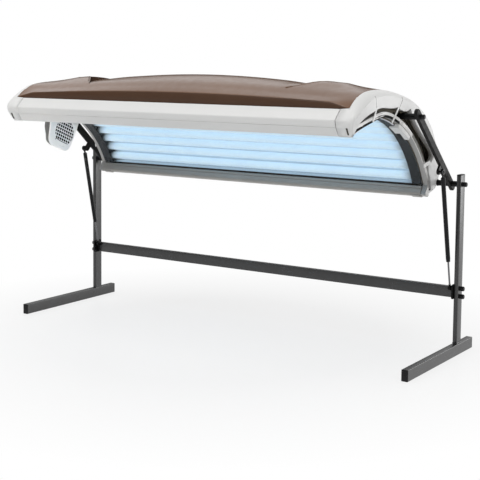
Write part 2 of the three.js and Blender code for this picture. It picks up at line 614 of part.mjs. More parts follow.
function fanGrille() {
  const { y, z, inner } = FAN;
  const { radius, thick, rim, rows, pitch, slot } = GRILLE;
  const plate = alongX(disc(y, z, radius), -inner - thick, -inner, 12);
  const slots = Array.from({ length: rows }, (_, i) => {
    const rise = (i - (rows - 1) / 2) * pitch;
    const half = Math.sqrt((radius - rim) ** 2 - (Math.abs(rise) + slot / 2) ** 2);
    return box(-inner - thick - 1, -inner + 1, y - half, y + half, z + rise - slot / 2, z + rise + slot / 2);
  });
  return cut(plate, ...slots);
}

function fanImpeller() {
  const { hub, blades, tip, root, wide, thick, twist, from, to } = IMPELLER;
  const drum = alongX(disc(0, 0, hub), from - FAN.outer, to - FAN.outer, 8);
  const vanes = Array.from({ length: blades }, (_, i) =>
    box(-thick / 2, thick / 2, root, tip, -wide / 2, wide / 2)
      .rotateY(twist)
      .translate((from + to) / 2 - FAN.outer, 0, 0)
      .rotateX((2 * Math.PI * i) / blades));
  return join(drum, ...vanes).translate(0, FAN.y, FAN.z);
}

add(canopy, 'fan_housing', fanHousing(), WHITE);
add(canopy, 'fan_grille', fanGrille(), WHITE);
const motorBack = -FAN.outer + FAN.back + GAP;
const motorShape = disc(FAN.y, FAN.z, MOTOR.radius);
add(canopy, 'fan_motor', alongX(motorShape, motorBack, motorBack + MOTOR.long, 8), BLACK);
add(canopy, 'fan_impeller', fanImpeller(), BLACK);

// Cable gland on the back of the shell.
function mainsInlet() {
  const { x, y, z, wide, high, thick, radius, bore, end } = INLET;
  const plate = box(x - wide / 2, x + wide / 2, y, y + thick, z - high / 2, z + high / 2);
  const gland = alongY(disc(x, z, radius), y + 1, end);
  const mouth = alongY(disc(x, z, bore), y + thick, end + 1);
  return cut(join(plate, gland), mouth);
}

add(canopy, 'mains_inlet', mainsInlet(), BLACK);

// The origin is under the middle of the object's box, on the floor.
const bounds = new THREE.Box3().setFromObject(object, true);
const middle = bounds.getCenter(new THREE.Vector3());
object.position.set(-middle.x, -middle.y, -bounds.min.z);

export default object;
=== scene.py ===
"""Looks for the tanning canopy on its stand: dressed pieces, procedural materials, light and camera.

Lengths are millimetres until a piece is placed. Stand pieces count Y from the front face of the posts.
Canopy pieces are drawn level about the lift pivot and then turned open, as the frame has them at rest.
"""
import json
import math

import bmesh
import bpy
from mathutils import Matrix, Vector

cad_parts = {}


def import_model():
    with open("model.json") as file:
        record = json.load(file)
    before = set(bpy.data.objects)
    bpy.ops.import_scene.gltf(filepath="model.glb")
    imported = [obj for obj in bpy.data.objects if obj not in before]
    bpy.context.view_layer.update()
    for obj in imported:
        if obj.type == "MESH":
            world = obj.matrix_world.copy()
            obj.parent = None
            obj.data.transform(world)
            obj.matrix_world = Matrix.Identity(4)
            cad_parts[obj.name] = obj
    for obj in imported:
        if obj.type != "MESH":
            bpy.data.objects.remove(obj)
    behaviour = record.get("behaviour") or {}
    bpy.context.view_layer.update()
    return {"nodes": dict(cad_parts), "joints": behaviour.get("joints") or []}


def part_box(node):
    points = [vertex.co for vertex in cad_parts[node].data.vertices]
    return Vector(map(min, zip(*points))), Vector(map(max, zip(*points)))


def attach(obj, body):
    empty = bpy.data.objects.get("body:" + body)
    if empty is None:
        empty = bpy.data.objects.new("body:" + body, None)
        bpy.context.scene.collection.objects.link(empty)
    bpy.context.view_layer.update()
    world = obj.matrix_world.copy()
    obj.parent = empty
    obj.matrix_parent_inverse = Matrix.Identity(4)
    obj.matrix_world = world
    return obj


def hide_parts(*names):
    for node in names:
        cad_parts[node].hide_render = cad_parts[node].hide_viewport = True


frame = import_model()
scene = bpy.context.scene
nodes = frame["nodes"]
joints = {joint["name"]: joint for joint in frame["joints"]}

# Placing: the frame gives the pivot, the opening angle and where the posts stand. A place names its body.
MM = 0.001
PIVOT = Vector(joints["canopy_lift"]["pos_m"])
OPEN = math.radians(joints["canopy_lift"]["range_deg"][1])
POST_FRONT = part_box("left_post")[0].y
ON_CANOPY = Matrix.Translation(PIVOT) @ Matrix.Rotation(-OPEN, 4, "X") @ Matrix.Scale(MM, 4)
CANOPY = (ON_CANOPY, "canopy")
STAND = (Matrix.Translation((0, POST_FRONT, 0)) @ Matrix.Scale(MM, 4), "stand")
SIDES = {"left": -1, "right": 1}
GAP = 0.3

# Sizes of the stand and the lift.
FOOT_WIDE, FOOT_HIGH, FOOT_FRONT, FOOT_REAR, FOOT_INNER = 30, 50, -536, 164, 1053
POST_WIDE, POST_DEEP, POST_TOP = 20, 50, 815
POST_OUTER = FOOT_INNER + POST_WIDE
CAP_THICK, CAP_PLUG, PLUG_CORNER, TUBE_CORNER, TUBE_WALL = 4, 12, 2, 3.2, 2
FOOT_RIM, POST_RIM = (1.6, 0.5), (1.4, 0.4)
WELD = ((0.0, 3.0), (1.6, 2.4), (2.4, 1.0), (2.6, 0.0))
BAR_FRONT, BAR_DEEP, BAR_LOW, BAR_HIGH = 12, 25, 255, 50
BAR_BOLTS = {"lower": 262, "upper": 298}
PIVOT_Y, PIVOT_Z = 25, 770
KNOB_RADIUS, KNOB_LONG, KNOB_FLUTES, KNOB_POINTS, WASHER_THICK = 11, 20, 10, 60, 2.4
PIN_RADIUS, PIN_END, BOLT_RADIUS, BOLT_GRIP = 6, 891.7, 4, 30
ARM_WIDE, ARM_INNER, ARM_OUTER, ARM_TAIL, ARM_TIP, ARM_STEPS = 36, 1006, 1022, 40, 42, 14
ARM_BOLT, ARM_STUD, LUG_RADIUS, SLEEVE_RADIUS, COLLAR_LONG = (-447, 164), (-154, 10), 14, 13, 4.7
LOW_STUD, STUD_RADIUS, BRACKET_THICK = (0, 300), 4, 6
BRACKET_LINE = ((-16, 252), (40, 252), (40, 318), (-16, 318))
SPRING_X, EYE_WIDE, SPRING_LENGTH = 1034, 12, 420
CYLINDER_RADIUS, ROD_RADIUS, ROD_LENGTH, PISTON_RADIUS, PISTON_LONG = 10, 4, 190, 7.6, 8

# Sizes of the canopy.
ARCH_Y, ARCH_Z, ARCH_RADIUS, ARCH_FRONT, ARCH_KNEE, ARCH_REAR = -480, -450, 562, -35.5, -10, 43.5
RUN_LIP, RUN_START, RUN_CORNER = (-805, -38), (-685, 57), (-640, 92.6)
SHEET_THICK, SHEET_EDGE_WIDE = 3, 7
LAMP_COUNT, LAMP_RADIUS, LAMP_HALF, LAMP_CIRCLE, LAMP_FIRST, LAMP_STEP = 14, 19, 882, 592, 40.5, -5.65
GLASS_HALF = LAMP_HALF - 12
REFLECTOR_RADIUS, REFLECTOR_HALF, REFLECTOR_RIDGE, REFLECTOR_THICK = 617, 868, 14, 1.5
REFLECTOR_LIP = ((572, 43.4), (600, 43.2), (617, 42.4))
BAND_HALF = 861.0
BAND = ((-812, -52), (-827, -50), (-857, -28), (-876, -4), (-850, 53))
BAND_BACK = ((-836, 53), (-814, -10))
SHELL_HALF, SHELL_WALL = 903, 3.5
SHELL_CURVE = ((-852, 56), (-815, 109), (-747, 164), (-602, 224), (-371, 267), (-191, 245), (-72, 176),
               (8, 92), (27, 28), (18, -25), (-14, -58), (-52, -76))
CROWN = (0, 33, 37, 55, 45, 36, 23, 12, 0, 0, 0, 0)
CROWN_POWER, ROOF_STEPS = 1.7, 7
STRIP_MIDDLE, STRIP_FALL, STRIP_KNEE, STRIP_END, SHADED_STRIP_FACING = 50, 0.45, 815, 3, -0.93
POD_MOUTH, POD_HEIGHT, POD_DIP, POD_TOP, POD_FADE, POD_NEAR, POD_END = 541, 19, 4, 640, 0.75, 430, -480
POD_FRONT, POD_REAR, DIP_FRONT, DIP_REAR = (-790, -650), (-580, -440), (-760, -650), (-600, -500)
POD_STATIONS = (550, 575, 605, 640, 680, 720, 760, 800, 820, 840, 852, 864, 876, 886, 894, 899, SHELL_HALF)
SCOOP_FRONT, SCOOP_REAR, SCOOP_CLOSE = -773, -628, -600
SCOOP_REACH, SCOOP_SINK, SCOOP_SLANT, SCOOP_FADE = 139, 12, 0.2, 860
LIP_DEEP, LIP_THICK, LIP_START = 8, 3, 30
CAP_END, CAP_WALL, CAP_BACK, CAP_SHOULDER = 950, 3.5, 29, math.radians(60)
CAP_LINE_BACK, CAP_OPENING_BACK, CAP_SOFT, CAP_ROUND, CAP_ROUND_MORE, CAP_STEPS = 118, 175, 26, 14, 36, 5
CAP_FACE = ((0.04, 0.0), (0.5, 0.0), (0.97, 0.0), (1.0, 1.5), (1.0, 26.0))
CAP_SEAMS = (((-738, 154), (-708, 101)), ((-504, 255), (-514, 178)))
SEAM_HALF, SEAM_DEEP = 1.4, 2.2
SHADE_SLOT_FROM, SHADE_SLOT_TO, SHADE_SLOT_INNER, SHADE_SLOT_OUTER = 2, 34, 906, 913
STRUTS = (((-709, 108), (-719, 46), 10), ((-511, 190), (-551, 99), 10), ((-112, 62), (-170, 27), 18))
END_OPENING = ((-812, -52), (-799, 3), (-770, 45), (-741, 73), (-702, 105), (-658, 127), (-595, 147),
               (-555, 162), (-526, 176), (-498, 176), (-466, 180), (-433, 191), (-405, 212), (-380, 196),
               (-310, 167), (-240, 148), (-170, 132), (-115, 117), (-86, 97), (-98, 70), (-124, 46),
               (-109, 16), (-89, 0), (-66, -21), (-58, -45))
PLATE_FACE = 896.3
PLATE_RIBS = ((690, 8, 41), (652, 6, 36))
RAIL_INNER, RAIL_OUTER, RAIL_LOW, RAIL_HIGH, RAIL_CORNER = 922, 945.7, 570, 592, 16
SHADE_STRIP_END, RAIL_FOOT_INNER, RAIL_FOOT_OUTER = 32.5, 872, 918
REAR_FRONT, REAR_REAR, REAR_LOW, REAR_HIGH, REAR_HALF = -99, -56, -87, -45, 921
CATCH_LOW, CATCH_LIP, CATCH_HIGH, CATCH_INNER, CATCH_SEAT, CATCH_OUTER = 551, 561.7, 569.7, 898, 922.3, 945
CATCH_FROM, CATCH_TO = 0.5, 13
FAN_Y, FAN_Z, FAN_INNER, FAN_SPLIT, FAN_OUTER = -420, 15.5, 950.3, 958, 1000
FAN_POCKET, FAN_POINTS = 73.5, 120
FAN_TABS, FAN_TAB_THICK, FAN_TAB_LOW = ((-536, -500, 205), (-398, -362, 225)), 6, 118
FAN_HOOK = ((-475, -41), (-472, -33), (-462, -33), (-446, -35.5), (-412, -36.5), (-378, -36))
GRILLE_RADIUS, GRILLE_THICK, GRILLE_RIM, GRILLE_ROWS, GRILLE_PITCH = 73, 3, 4, 8, 16


# Small geometry helpers. A shape is a pair of lists: points and faces.
def merge(*shapes):
    points, faces = [], []
    for shape_points, shape_faces in shapes:
        base = len(points)
        points += shape_points
        faces += [[base + i for i in face] for face in shape_faces]
    return points, faces


def on_axis(axis, along, a, b):
    return {"x": (along, a, b), "y": (a, along, b), "z": (a, b, along)}[axis]


def loft(rings, around=True, ends=True):
    """Skin over rings of equal length. around closes each ring, and ends caps the first and the last."""
    count = len(rings[0])
    points = [point for ring in rings for point in ring]
    faces = []
    for k in range(len(rings) - 1):
        for i in range(count if around else count - 1):
            j = (i + 1) % count
            faces.append([k * count + i, k * count + j, (k + 1) * count + j, (k + 1) * count + i])
    if ends and around:
        faces.append(list(range(count)))
        faces.append([(len(rings) - 1) * count + i for i in range(count)])
    return points, faces


def prism(outline, start, end, side=1, axis="x"):
    return loft([[on_axis(axis, side * along, a, b) for a, b in outline] for along in (start, end)])


def circle(centre, radius, count=32):
    angles = [i * (2 * math.pi / count) for i in range(count)]
    return [(centre[0] + radius * math.cos(angle), centre[1] + radius * math.sin(angle)) for angle in angles]


def turned(profile, centre=(0, 0), count=32, side=1, axis="x"):
    """A body of revolution from (radius, along) pairs."""
    return loft([[on_axis(axis, side * along, a, b) for a, b in circle(centre, max(radius, 1e-4), count)]
                 for radius, along in profile])


def ring_section(outer, inner, start, end, centre, count=32):
    """A short tube along X with rounded rims."""
    edge = 0.8
    step = edge if end > start else -edge
    profile = [(inner + edge, start), (outer - edge, start), (outer, start + step), (outer, end - step),
               (outer - edge, end), (inner + edge, end), (inner, end - step), (inner, start + step),
               (inner + edge, start)]
    return loft([[(x, y, z) for y, z in circle(centre, radius, count)] for radius, x in profile], ends=False)


def fillet(points, radius, steps=4, closed=True):
    """The outline with each corner rounded. radius is one number or one per corner."""
    count = len(points)
    radii = radius if hasattr(radius, "__len__") else [radius] * count
    result = []
    for i, (x, y) in enumerate(points):
        if not radii[i] or (not closed and i in (0, count - 1)):
            result.append((x, y))
            continue
        here = Vector((x, y))
        before, after = Vector(points[i - 1]) - here, Vector(points[(i + 1) % count]) - here
        reach = min(radii[i] / math.tan(before.angle(after) / 2), before.length * 0.49, after.length * 0.49)
        start, end = here + before.normalized() * reach, here + after.normalized() * reach
        for k in range(steps + 1):
            t = k / steps
            point = start * (1 - t) ** 2 + here * (2 * t * (1 - t)) + end * t ** 2
            result.append((point.x, point.y))
    return result


def rectangle(a0, b0, a1, b1, corner):
    return fillet([(a0, b0), (a1, b0), (a1, b1), (a0, b1)], corner)


def on_arch(radius, degrees):
    angle = math.radians(degrees)
    return ARCH_Y + radius * math.sin(angle), ARCH_Z + radius * math.cos(angle)


def arc(radius, start, end, steps):
    return [on_arch(radius, start + (end - start) * i / steps) for i in range(steps + 1)]


def arc_band(low, high, start, end, steps):
    return arc(high, start, end, steps) + arc(low, end, start, steps)


def spline(points, steps):
    """A uniform Catmull-Rom curve through the points, as the solids have it."""
    last = len(points) - 1
    result = []
    for k in range(last * steps + 1):
        i = min(k // steps, last)
        t = k / steps - i
        p0, p1 = points[max(i - 1, 0)], points[i]
        p2, p3 = points[min(i + 1, last)], points[min(i + 2, last)]
        result.append(tuple(
            (2 * b - 2 * c + (c - a) / 2 + (d - b) / 2) * t ** 3
            + (-3 * b + 3 * c - (c - a) - (d - b) / 2) * t ** 2 + (c - a) / 2 * t + b
            for a, b, c, d in zip(p0, p1, p2, p3)))
    return result


def normals(points):
    """Unit normals of an open line, to the right of its run."""
    result = []
    for before, after in zip([points[0], *points[:-1]], [*points[1:], points[-1]]):
        run = math.hypot(after[0] - before[0], after[1] - before[1])
        result.append(((after[1] - before[1]) / run, (before[0] - after[0]) / run))
    return result


def beside(points, distance):
    """The open line moved to the left of its run, outwards on the canopy."""
    return [(y - ny * distance, z - nz * distance) for (y, z), (ny, nz) in zip(points, normals(points))]


def arch_line(out, rear=ARCH_REAR):
    """The tanning surface seen from the end, moved outwards: the front run, a soft corner and the arc."""
    lip, start, corner = Vector(RUN_LIP), Vector(RUN_START), Vector(RUN_CORNER)
    knee = Vector(on_arch(ARCH_RADIUS, ARCH_KNEE))
    run = [lip.lerp(start, i / 8) for i in range(8)]
    shares = [i / 10 for i in range(11)]
    bend = [start * (1 - t) ** 2 + corner * (2 * t * (1 - t)) + knee * t ** 2 for t in shares]
    return beside(run + bend, out) + arc(ARCH_RADIUS + out, ARCH_KNEE + 1.5, rear, 44)


def arch_skin(low, high, rear=ARCH_REAR):
    return arch_line(high, rear) + arch_line(low, rear)[::-1]


def smooth(start, end, value):
    t = min(1.0, max(0.0, (value - start) / (end - start)))
    return t * t * (3 - 2 * t)


def piece(name, shape, look, where, replaced=(), bevel=0.0, sharp=35, segments=3, wall=0.0,
          extra=(), outward=True):
    """A mesh object that rides on a body and stands for CAD nodes. extra holds more (shape, look) pairs."""
    place, body = where
    parts = [(shape, look), *extra]
    mesh = bpy.data.meshes.new(name)
    bm = bmesh.new()
    for number, ((points, faces), _) in enumerate(parts):
        verts = [bm.verts.new(place @ Vector(point)) for point in points]
        for face in faces:
            bm.faces.new([verts[i] for i in face]).material_index = number
    bmesh.ops.remove_doubles(bm, verts=bm.verts, dist=2e-6)
    bmesh.ops.dissolve_degenerate(bm, edges=bm.edges, dist=1e-6)
    if outward:
        bmesh.ops.recalc_face_normals(bm, faces=bm.faces)
    bm.to_mesh(mesh)
    bm.free()
    for _, material in parts:
        mesh.materials.append(material)
    mesh.shade_smooth()
    mesh.set_sharp_from_angle(angle=math.radians(sharp))
    obj = bpy.data.objects.new(name, mesh)
    scene.collection.objects.link(obj)
    if wall:
        solid = obj.modifiers.new("wall", "SOLIDIFY")
        solid.thickness = wall * MM
        solid.offset = -1
    if bevel:
        round_edges(obj, bevel, segments, sharp)
    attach(obj, body)
    if replaced:
        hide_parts(*replaced)
    return obj


def round_edges(obj, width, segments=3, angle=35):
    rounding = obj.modifiers.new("edges", "BEVEL")
    rounding.width = width * MM
    rounding.segments = segments
    rounding.limit_method = "ANGLE"
    rounding.angle_limit = math.radians(angle)
    rounding.harden_normals = True
    rounding.use_clamp_overlap = True


# Materials. Each one is a node network on object coordinates, so it stays with its piece.
def put(tree, node, values):
    """Set a node's inputs, each from a plain value or from another node's output."""
    for key, value in values.items():
        if isinstance(value, bpy.types.NodeSocket):
            tree.links.new(value, node.inputs[key])
        else:
            node.inputs[key].default_value = value


def add(tree, kind, values=None, **settings):
    """A new node with its settings made and its inputs set."""
    node = tree.nodes.new("ShaderNode" + kind)
    for key, value in settings.items():
        setattr(node, key, value)
    put(tree, node, values or {})
    return node


def shader(name):
    material = bpy.data.materials.new(name)
    material.use_nodes = True
    tree = material.node_tree
    return material, tree, tree.nodes["Principled BSDF"]


def coordinates(tree, kind="Object"):
    return add(tree, "TexCoord").outputs[kind]


def axis_of(tree, source, axis):
    return add(tree, "SeparateXYZ", {"Vector": source}).outputs[axis]


def calculate(tree, operation, *values):
    return add(tree, "Math", dict(enumerate(values)), operation=operation).outputs["Value"]


def noise(tree, scale, detail=4.0, stretch=None):
    source = coordinates(tree)
    if stretch:
        source = add(tree, "Mapping", {"Vector": source, "Scale": stretch}).outputs["Vector"]
    values = {"Scale": scale, "Detail": detail, "Roughness": 0.55, "Vector": source}
    return add(tree, "TexNoise", values).outputs["Fac"]


def ramp(tree, source, stops):
    node = add(tree, "ValToRGB", {"Fac": source})
    elements = node.color_ramp.elements
    while len(elements) < len(stops):
        elements.new(0.5)
    for element, (position, colour) in zip(elements, stops):
        element.position = position
        element.color = (*colour, 1.0)
    return node.outputs["Color"]


def drift(tree, source, dark, light):
    return ramp(tree, source, ((0.3, dark), (0.7, light)))


def spread_value(tree, source, low, high, start=0.3, end=0.7):
    values = {"Value": source, "From Min": start, "From Max": end, "To Min": low, "To Max": high}
    return add(tree, "MapRange", values).outputs["Result"]


def bump(tree, source, strength, distance, under=None):
    values = {"Height": source, "Strength": strength, "Distance": distance}
    if under is not None:
        values["Normal"] = under
    return add(tree, "Bump", values).outputs["Normal"]


def mix_colours(tree, factor, first, second, blend="MIX"):
    values = {"Factor": factor, "A": first, "B": second}
    return add(tree, "Mix", values, data_type="RGBA", blend_type=blend).outputs["Result"]


def finish(name, colour, roughness, metallic=0.0, tone=0.10, rough_spread=0.08, grain=1200.0, depth=0.00004,
           strength=0.35, stretch=None, wave=0.0, specular=0.5):
    """A surface whose tone and roughness drift over its patches, with a fine grain that catches light."""
    material, tree, bsdf = shader(name)
    darker = tuple(c * (1 - tone) for c in colour)
    lighter = tuple(min(1.0, c * (1 + tone)) for c in colour)
    low, high = roughness - rough_spread, roughness + rough_spread
    normal = bump(tree, noise(tree, grain, 3.0, stretch), strength, depth)
    if wave:
        normal = bump(tree, noise(tree, 24.0, 2.0), 0.4, wave, normal)
    put(tree, bsdf, {"Base Color": drift(tree, noise(tree, 5.0, 5.0), darker, lighter),
                     "Roughness": spread_value(tree, noise(tree, 45.0), low, high),
                     "Normal": normal, "Metallic": metallic, "Specular IOR Level": specular})
    return material


STAND_PAINT = finish("stand_paint", (0.012, 0.012, 0.0125), 0.30, rough_spread=0.03, grain=400,
                     depth=0.00002, strength=0.1, specular=0.8)
ARM_PAINT = finish("arm_paint", (0.012, 0.0118, 0.0115), 0.50, tone=0.14, grain=1500, strength=0.5,
                   specular=0.12)
BLACK_PLASTIC = finish("black_plastic", (0.008, 0.008, 0.009), 0.46, grain=900, depth=0.00008, tone=0.2,
                       specular=0.25)
BLACK_HARDWARE = finish("black_hardware", (0.005, 0.005, 0.005), 0.40, grain=1400, tone=0.2, specular=0.15)
SPRING_BLACK = finish("spring_black", (0.005, 0.005, 0.006), 0.30, grain=1400, tone=0.25, specular=0.2)
ROD_STEEL = finish("rod_steel", (0.16, 0.16, 0.165), 0.24, 1.0, tone=0.06, grain=260, stretch=(1, 1, 0.02))
WHITE = finish("white_plastic", (0.78, 0.78, 0.77), 0.36, tone=0.018, grain=1500, strength=0.2, wave=0.0002,
               specular=0.3)
GREY_RAIL = finish("grey_rail", (0.32, 0.308, 0.288), 0.40, 0.3, tone=0.05, grain=420, stretch=(0.02, 1, 1))
FAN_WHITE = finish("fan_white", (0.92, 0.92, 0.91), 0.36, tone=0.018, grain=1500, strength=0.2, specular=0.3)
END_TRIM = finish("end_trim", (0.36, 0.355, 0.345), 0.36, 0.3, tone=0.05, grain=600)
# Painted shade: a dark olive for the slot at the end of each band and for the dark that each rail's end face
# mirrors.
SHADE_OLIVE = finish("olive_painted_shade", (0.060, 0.054, 0.042), 0.45, tone=0.12, grain=700, specular=0.25)
SHEET_EDGE = finish("sheet_edge", (0.70, 0.71, 0.76), 0.40, tone=0.04, grain=900)
CHARCOAL = finish("charcoal_plastic", (0.012, 0.012, 0.014), 0.55, tone=0.15, grain=700, depth=0.0001,
                  specular=0.2)
ALUMINIUM = finish("bright_aluminium", (0.78, 0.80, 0.82), 0.20, 1.0, tone=0.03, grain=300,
                   stretch=(0.02, 1, 1))
CAP_METAL = finish("lamp_cap_metal", (0.30, 0.31, 0.32), 0.32, 1.0, tone=0.06, grain=600)
# Painted shade: a near-black for the seam grooves of the hoods, the gap beside each end rail and the slot on
# the fan, hollows that lie in shade.
GAP_SHADE = finish("painted_gap_shade", (0.006, 0.006, 0.006), 0.7, tone=0.3, grain=700, depth=0.0001, specular=0.1)
# Painted shade: grey for the back shell of the white fan, whose side lies in shade under the hood.
FAN_SHADE_GREY = finish("fan_painted_shade", (0.15, 0.15, 0.145), 0.45, tone=0.06, grain=900, depth=0.00008, specular=0.3)


def lacquer(name, dark, light, metallic, coat, specular):
    """Brown lacquer: flakes under a clear coat, over a tone that drifts slowly along the shell."""
    material, tree, bsdf = shader(name)
    flakes = add(tree, "TexVoronoi", {"Scale": 2600, "Vector": coordinates(tree)}).outputs["Color"]
    glints = ramp(tree, flakes, ((0.0, (0.6, 0.58, 0.56)), (1.0, (1.0, 1.0, 1.0))))
    tone = drift(tree, noise(tree, 2.2, 3.0), dark, light)
    put(tree, bsdf, {"Base Color": mix_colours(tree, 0.35, tone, glints, "MULTIPLY"),
                     "Roughness": spread_value(tree, noise(tree, 30.0), 0.34, 0.46),
                     "Normal": bump(tree, noise(tree, 60.0, 2.0), 0.12, 0.0002),
                     "Metallic": metallic, "Specular IOR Level": specular,
                     "Coat Weight": coat, "Coat Roughness": 0.05})
    return material


def clear_sheet():
    material, tree, bsdf = shader("clear_acrylic")
    put(tree, bsdf, {"Base Color": drift(tree, noise(tree, 3.0), (0.40, 0.48, 0.53), (0.46, 0.54, 0.58)),
                     "Roughness": spread_value(tree, noise(tree, 9.0), 0.04, 0.10), "Alpha": 0.035})
    return material


def lit_glass():
    """The lit tube: even in the middle and weaker over the last few centimetres at each end."""
    material, tree, bsdf = shader("lamp_glass")
    from_middle = calculate(tree, "ABSOLUTE", axis_of(tree, coordinates(tree), "X"))
    faded = spread_value(tree, from_middle, 0.0, 1.0, 0.80, 0.872)
    dulled = spread_value(tree, from_middle, 0.0, 0.7, 0.82, 0.872)
    glow = ((0.0, (0.60, 0.74, 0.84)), (0.5, (0.56, 0.68, 0.77)), (1.0, (0.12, 0.15, 0.17)))
    glass = drift(tree, noise(tree, 12.0), (0.52, 0.70, 0.84), (0.58, 0.76, 0.88))
    put(tree, bsdf, {"Base Color": mix_colours(tree, dulled, glass, (0.10, 0.13, 0.15, 1.0)),
                     "Emission Color": ramp(tree, faded, glow), "Emission Strength": 0.47,
                     "Roughness": spread_value(tree, noise(tree, 60.0), 0.14, 0.24)})
    return material


def end_plate_look():
    """Charcoal on the flange and towards the lamps, dull olive brown on the outer face behind the vent."""
    material, tree, bsdf = shader("end_plate_paint")
    facing = axis_of(tree, coordinates(tree, "Normal"), "X")
    place = axis_of(tree, add(tree, "NewGeometry").outputs["Position"], "X")
    outward = spread_value(tree, calculate(tree, "MULTIPLY", facing, place), 0.0, 1.0, 0.5, 0.7)
    patches = noise(tree, 6.0)
    charcoal = drift(tree, patches, (0.010, 0.010, 0.012), (0.015, 0.015, 0.017))
    olive = drift(tree, patches, (0.20, 0.178, 0.140), (0.24, 0.214, 0.170))
    put(tree, bsdf, {"Base Color": mix_colours(tree, outward, charcoal, olive),
                     "Roughness": spread_value(tree, noise(tree, 40.0), 0.45, 0.6),
                     "Normal": bump(tree, noise(tree, 700.0), 0.35, 0.0001), "Specular IOR Level": 0.15})
    return material


BROWN = lacquer("brown_shell", (0.182, 0.094, 0.052), (0.212, 0.112, 0.064), 0.1, 0.6, 0.1)
# Painted shade: a darker brown for the front strip under the crease and the left pod's scoop, where the shell
# lies in shade and mirrors dark.
SHADE_BROWN = lacquer("brown_painted_shade", (0.078, 0.038, 0.020), (0.097, 0.048, 0.026), 0.0, 0.0, 0.2)
CLEAR = clear_sheet()
LAMP_GLASS = lit_glass()
END_PLATE = end_plate_look()


# Stand.
def inset(box, by, corner=TUBE_CORNER):
    """A rounded rectangle inside the box, which is given as low a, low b, high a and high b."""
    a0, b0, a1, b1 = box
    return rectangle(a0 + by, b0 + by, a1 - by, b1 - by, corner)


def end_plug(name, node, box, axis, face, inward, rounds):
    """A plastic cap with a plug in the tube. rounds holds the two depths where its edge rounds over."""
    plug, outline = inset(box, TUBE_WALL, PLUG_CORNER), inset(box, 0)
    stations = ((plug, CAP_THICK + CAP_PLUG), (plug, CAP_THICK), (outline, CAP_THICK), (outline, rounds[0]),
                (inset(box, 1), rounds[1]), (inset(box, 3), 0))
    rings = [[on_axis(axis, face + inward * depth, a, b) for a, b in line] for line, depth in stations]
    piece(name, loft(rings), BLACK_PLASTIC, STAND, [node], sharp=40)


def foot(name, side):
    low, high = sorted((side * FOOT_INNER, side * (FOOT_INNER + FOOT_WIDE)))
    box = (low, 0, high, FOOT_HIGH)
    tube = prism(inset(box, 0), FOOT_FRONT + CAP_THICK, FOOT_REAR - CAP_THICK, axis="y")
    piece(f"{name}_foot_tube", tube, STAND_PAINT, STAND, [f"{name}_foot"], bevel=0.5)
    for end, face, inward in (("front", FOOT_FRONT, 1), ("rear", FOOT_REAR, -1)):
        end_plug(f"{name}_foot_{end}_plug", f"{name}_foot_{end}_cap", box, "y", face, inward, FOOT_RIM)


def post(name, side):
    low, high = sorted((side * FOOT_INNER, side * POST_OUTER))
    box = (low, 0, high, POST_DEEP)
    tube = prism(inset(box, 0), FOOT_HIGH, POST_TOP - CAP_THICK, axis="z")
    piece(f"{name}_post_tube", tube, STAND_PAINT, STAND, [f"{name}_post"], bevel=0.5)
    bead = []
    for grow, rise in WELD:
        bead.append([(x, y, FOOT_HIGH + rise) for x, y in inset(box, -grow, TUBE_CORNER + grow)])
    piece(f"{name}_post_weld", loft(bead, ends=False), STAND_PAINT, STAND, sharp=60)
    end_plug(f"{name}_post_plug", f"{name}_post_cap", box, "z", POST_TOP, -1, POST_RIM)


def knob(name, node, side, centre, seat, inner, pin, where):
    """A pin with a washer and a fluted, domed plastic knob."""
    y, z = centre
    base, top = seat + WASHER_THICK, seat + KNOB_LONG
    stations = ((0.80, base), (0.95, base + 1.2), (1.0, base + 3), (1.0, top - 5), (0.94, top - 2.2),
                (0.80, top - 0.7), (0.55, top))
    rings = []
    for share, along in stations:
        ring = []
        for i in range(KNOB_POINTS):
            angle = 2 * math.pi * i / KNOB_POINTS
            wavy = KNOB_RADIUS * share * (1 - 0.05 * (0.5 + 0.5 * math.cos(KNOB_FLUTES * angle)))
            ring.append((side * along, y + wavy * math.cos(angle), z + wavy * math.sin(angle)))
        rings.append(ring)
    washer = turned(((KNOB_RADIUS - 0.4, seat), (KNOB_RADIUS, seat + 0.4), (KNOB_RADIUS, seat + 1.8),
                     (KNOB_RADIUS - 0.6, base)), centre=centre, side=side)
    shank = turned(((pin, seat + 1), (pin, inner + 1), (pin - 1, inner)), centre=centre, side=side)
    piece(name, merge(loft(rings), washer), BLACK_PLASTIC, where, [node],
          extra=[(shank, BLACK_HARDWARE)])


def spring_bracket(name, side):
    outer = FOOT_INNER - GAP
    inner = outer - BRACKET_THICK
    plate = prism(fillet(BRACKET_LINE, [10, 4, 4, 12], 6), inner, outer, side)
    end = SPRING_X - EYE_WIDE / 2 - 2
    stud = turned(((STUD_RADIUS, inner + 1), (STUD_RADIUS, end + 1), (5.2, end + 0.9), (5.2, end + 0.3),
                   (4.4, end)), LOW_STUD, 24, side)
    piece(f"{name}_spring_plate", merge(plate, stud), BLACK_HARDWARE, STAND, [f"{name}_spring_bracket"],
          bevel=0.8)


for side_name, side in SIDES.items():
    foot(side_name, side)
    post(side_name, side)
    seat = POST_OUTER + GAP
    for row, height in BAR_BOLTS.items():
        knob(f"{side_name}_bar_knob_{row}", f"{side_name}_bar_bolt_{row}", side,
             (BAR_FRONT + BAR_DEEP / 2, height), seat, FOOT_INNER - BOLT_GRIP, BOLT_RADIUS, STAND)
    spring_bracket(side_name, side)
    knob(f"{side_name}_pivot_knob", f"{side_name}_pivot_bolt", side, (PIVOT_Y, PIVOT_Z), seat, PIN_END,
         PIN_RADIUS, STAND)

bar_section = rectangle(BAR_FRONT, BAR_LOW, BAR_FRONT + BAR_DEEP, BAR_LOW + BAR_HIGH, TUBE_CORNER)
bar_half = FOOT_INNER - BRACKET_THICK - 2 * GAP
piece("cross_bar_tube", prism(bar_section, -bar_half, bar_half), STAND_PAINT, STAND, ["cross_bar"],
      bevel=0.5)


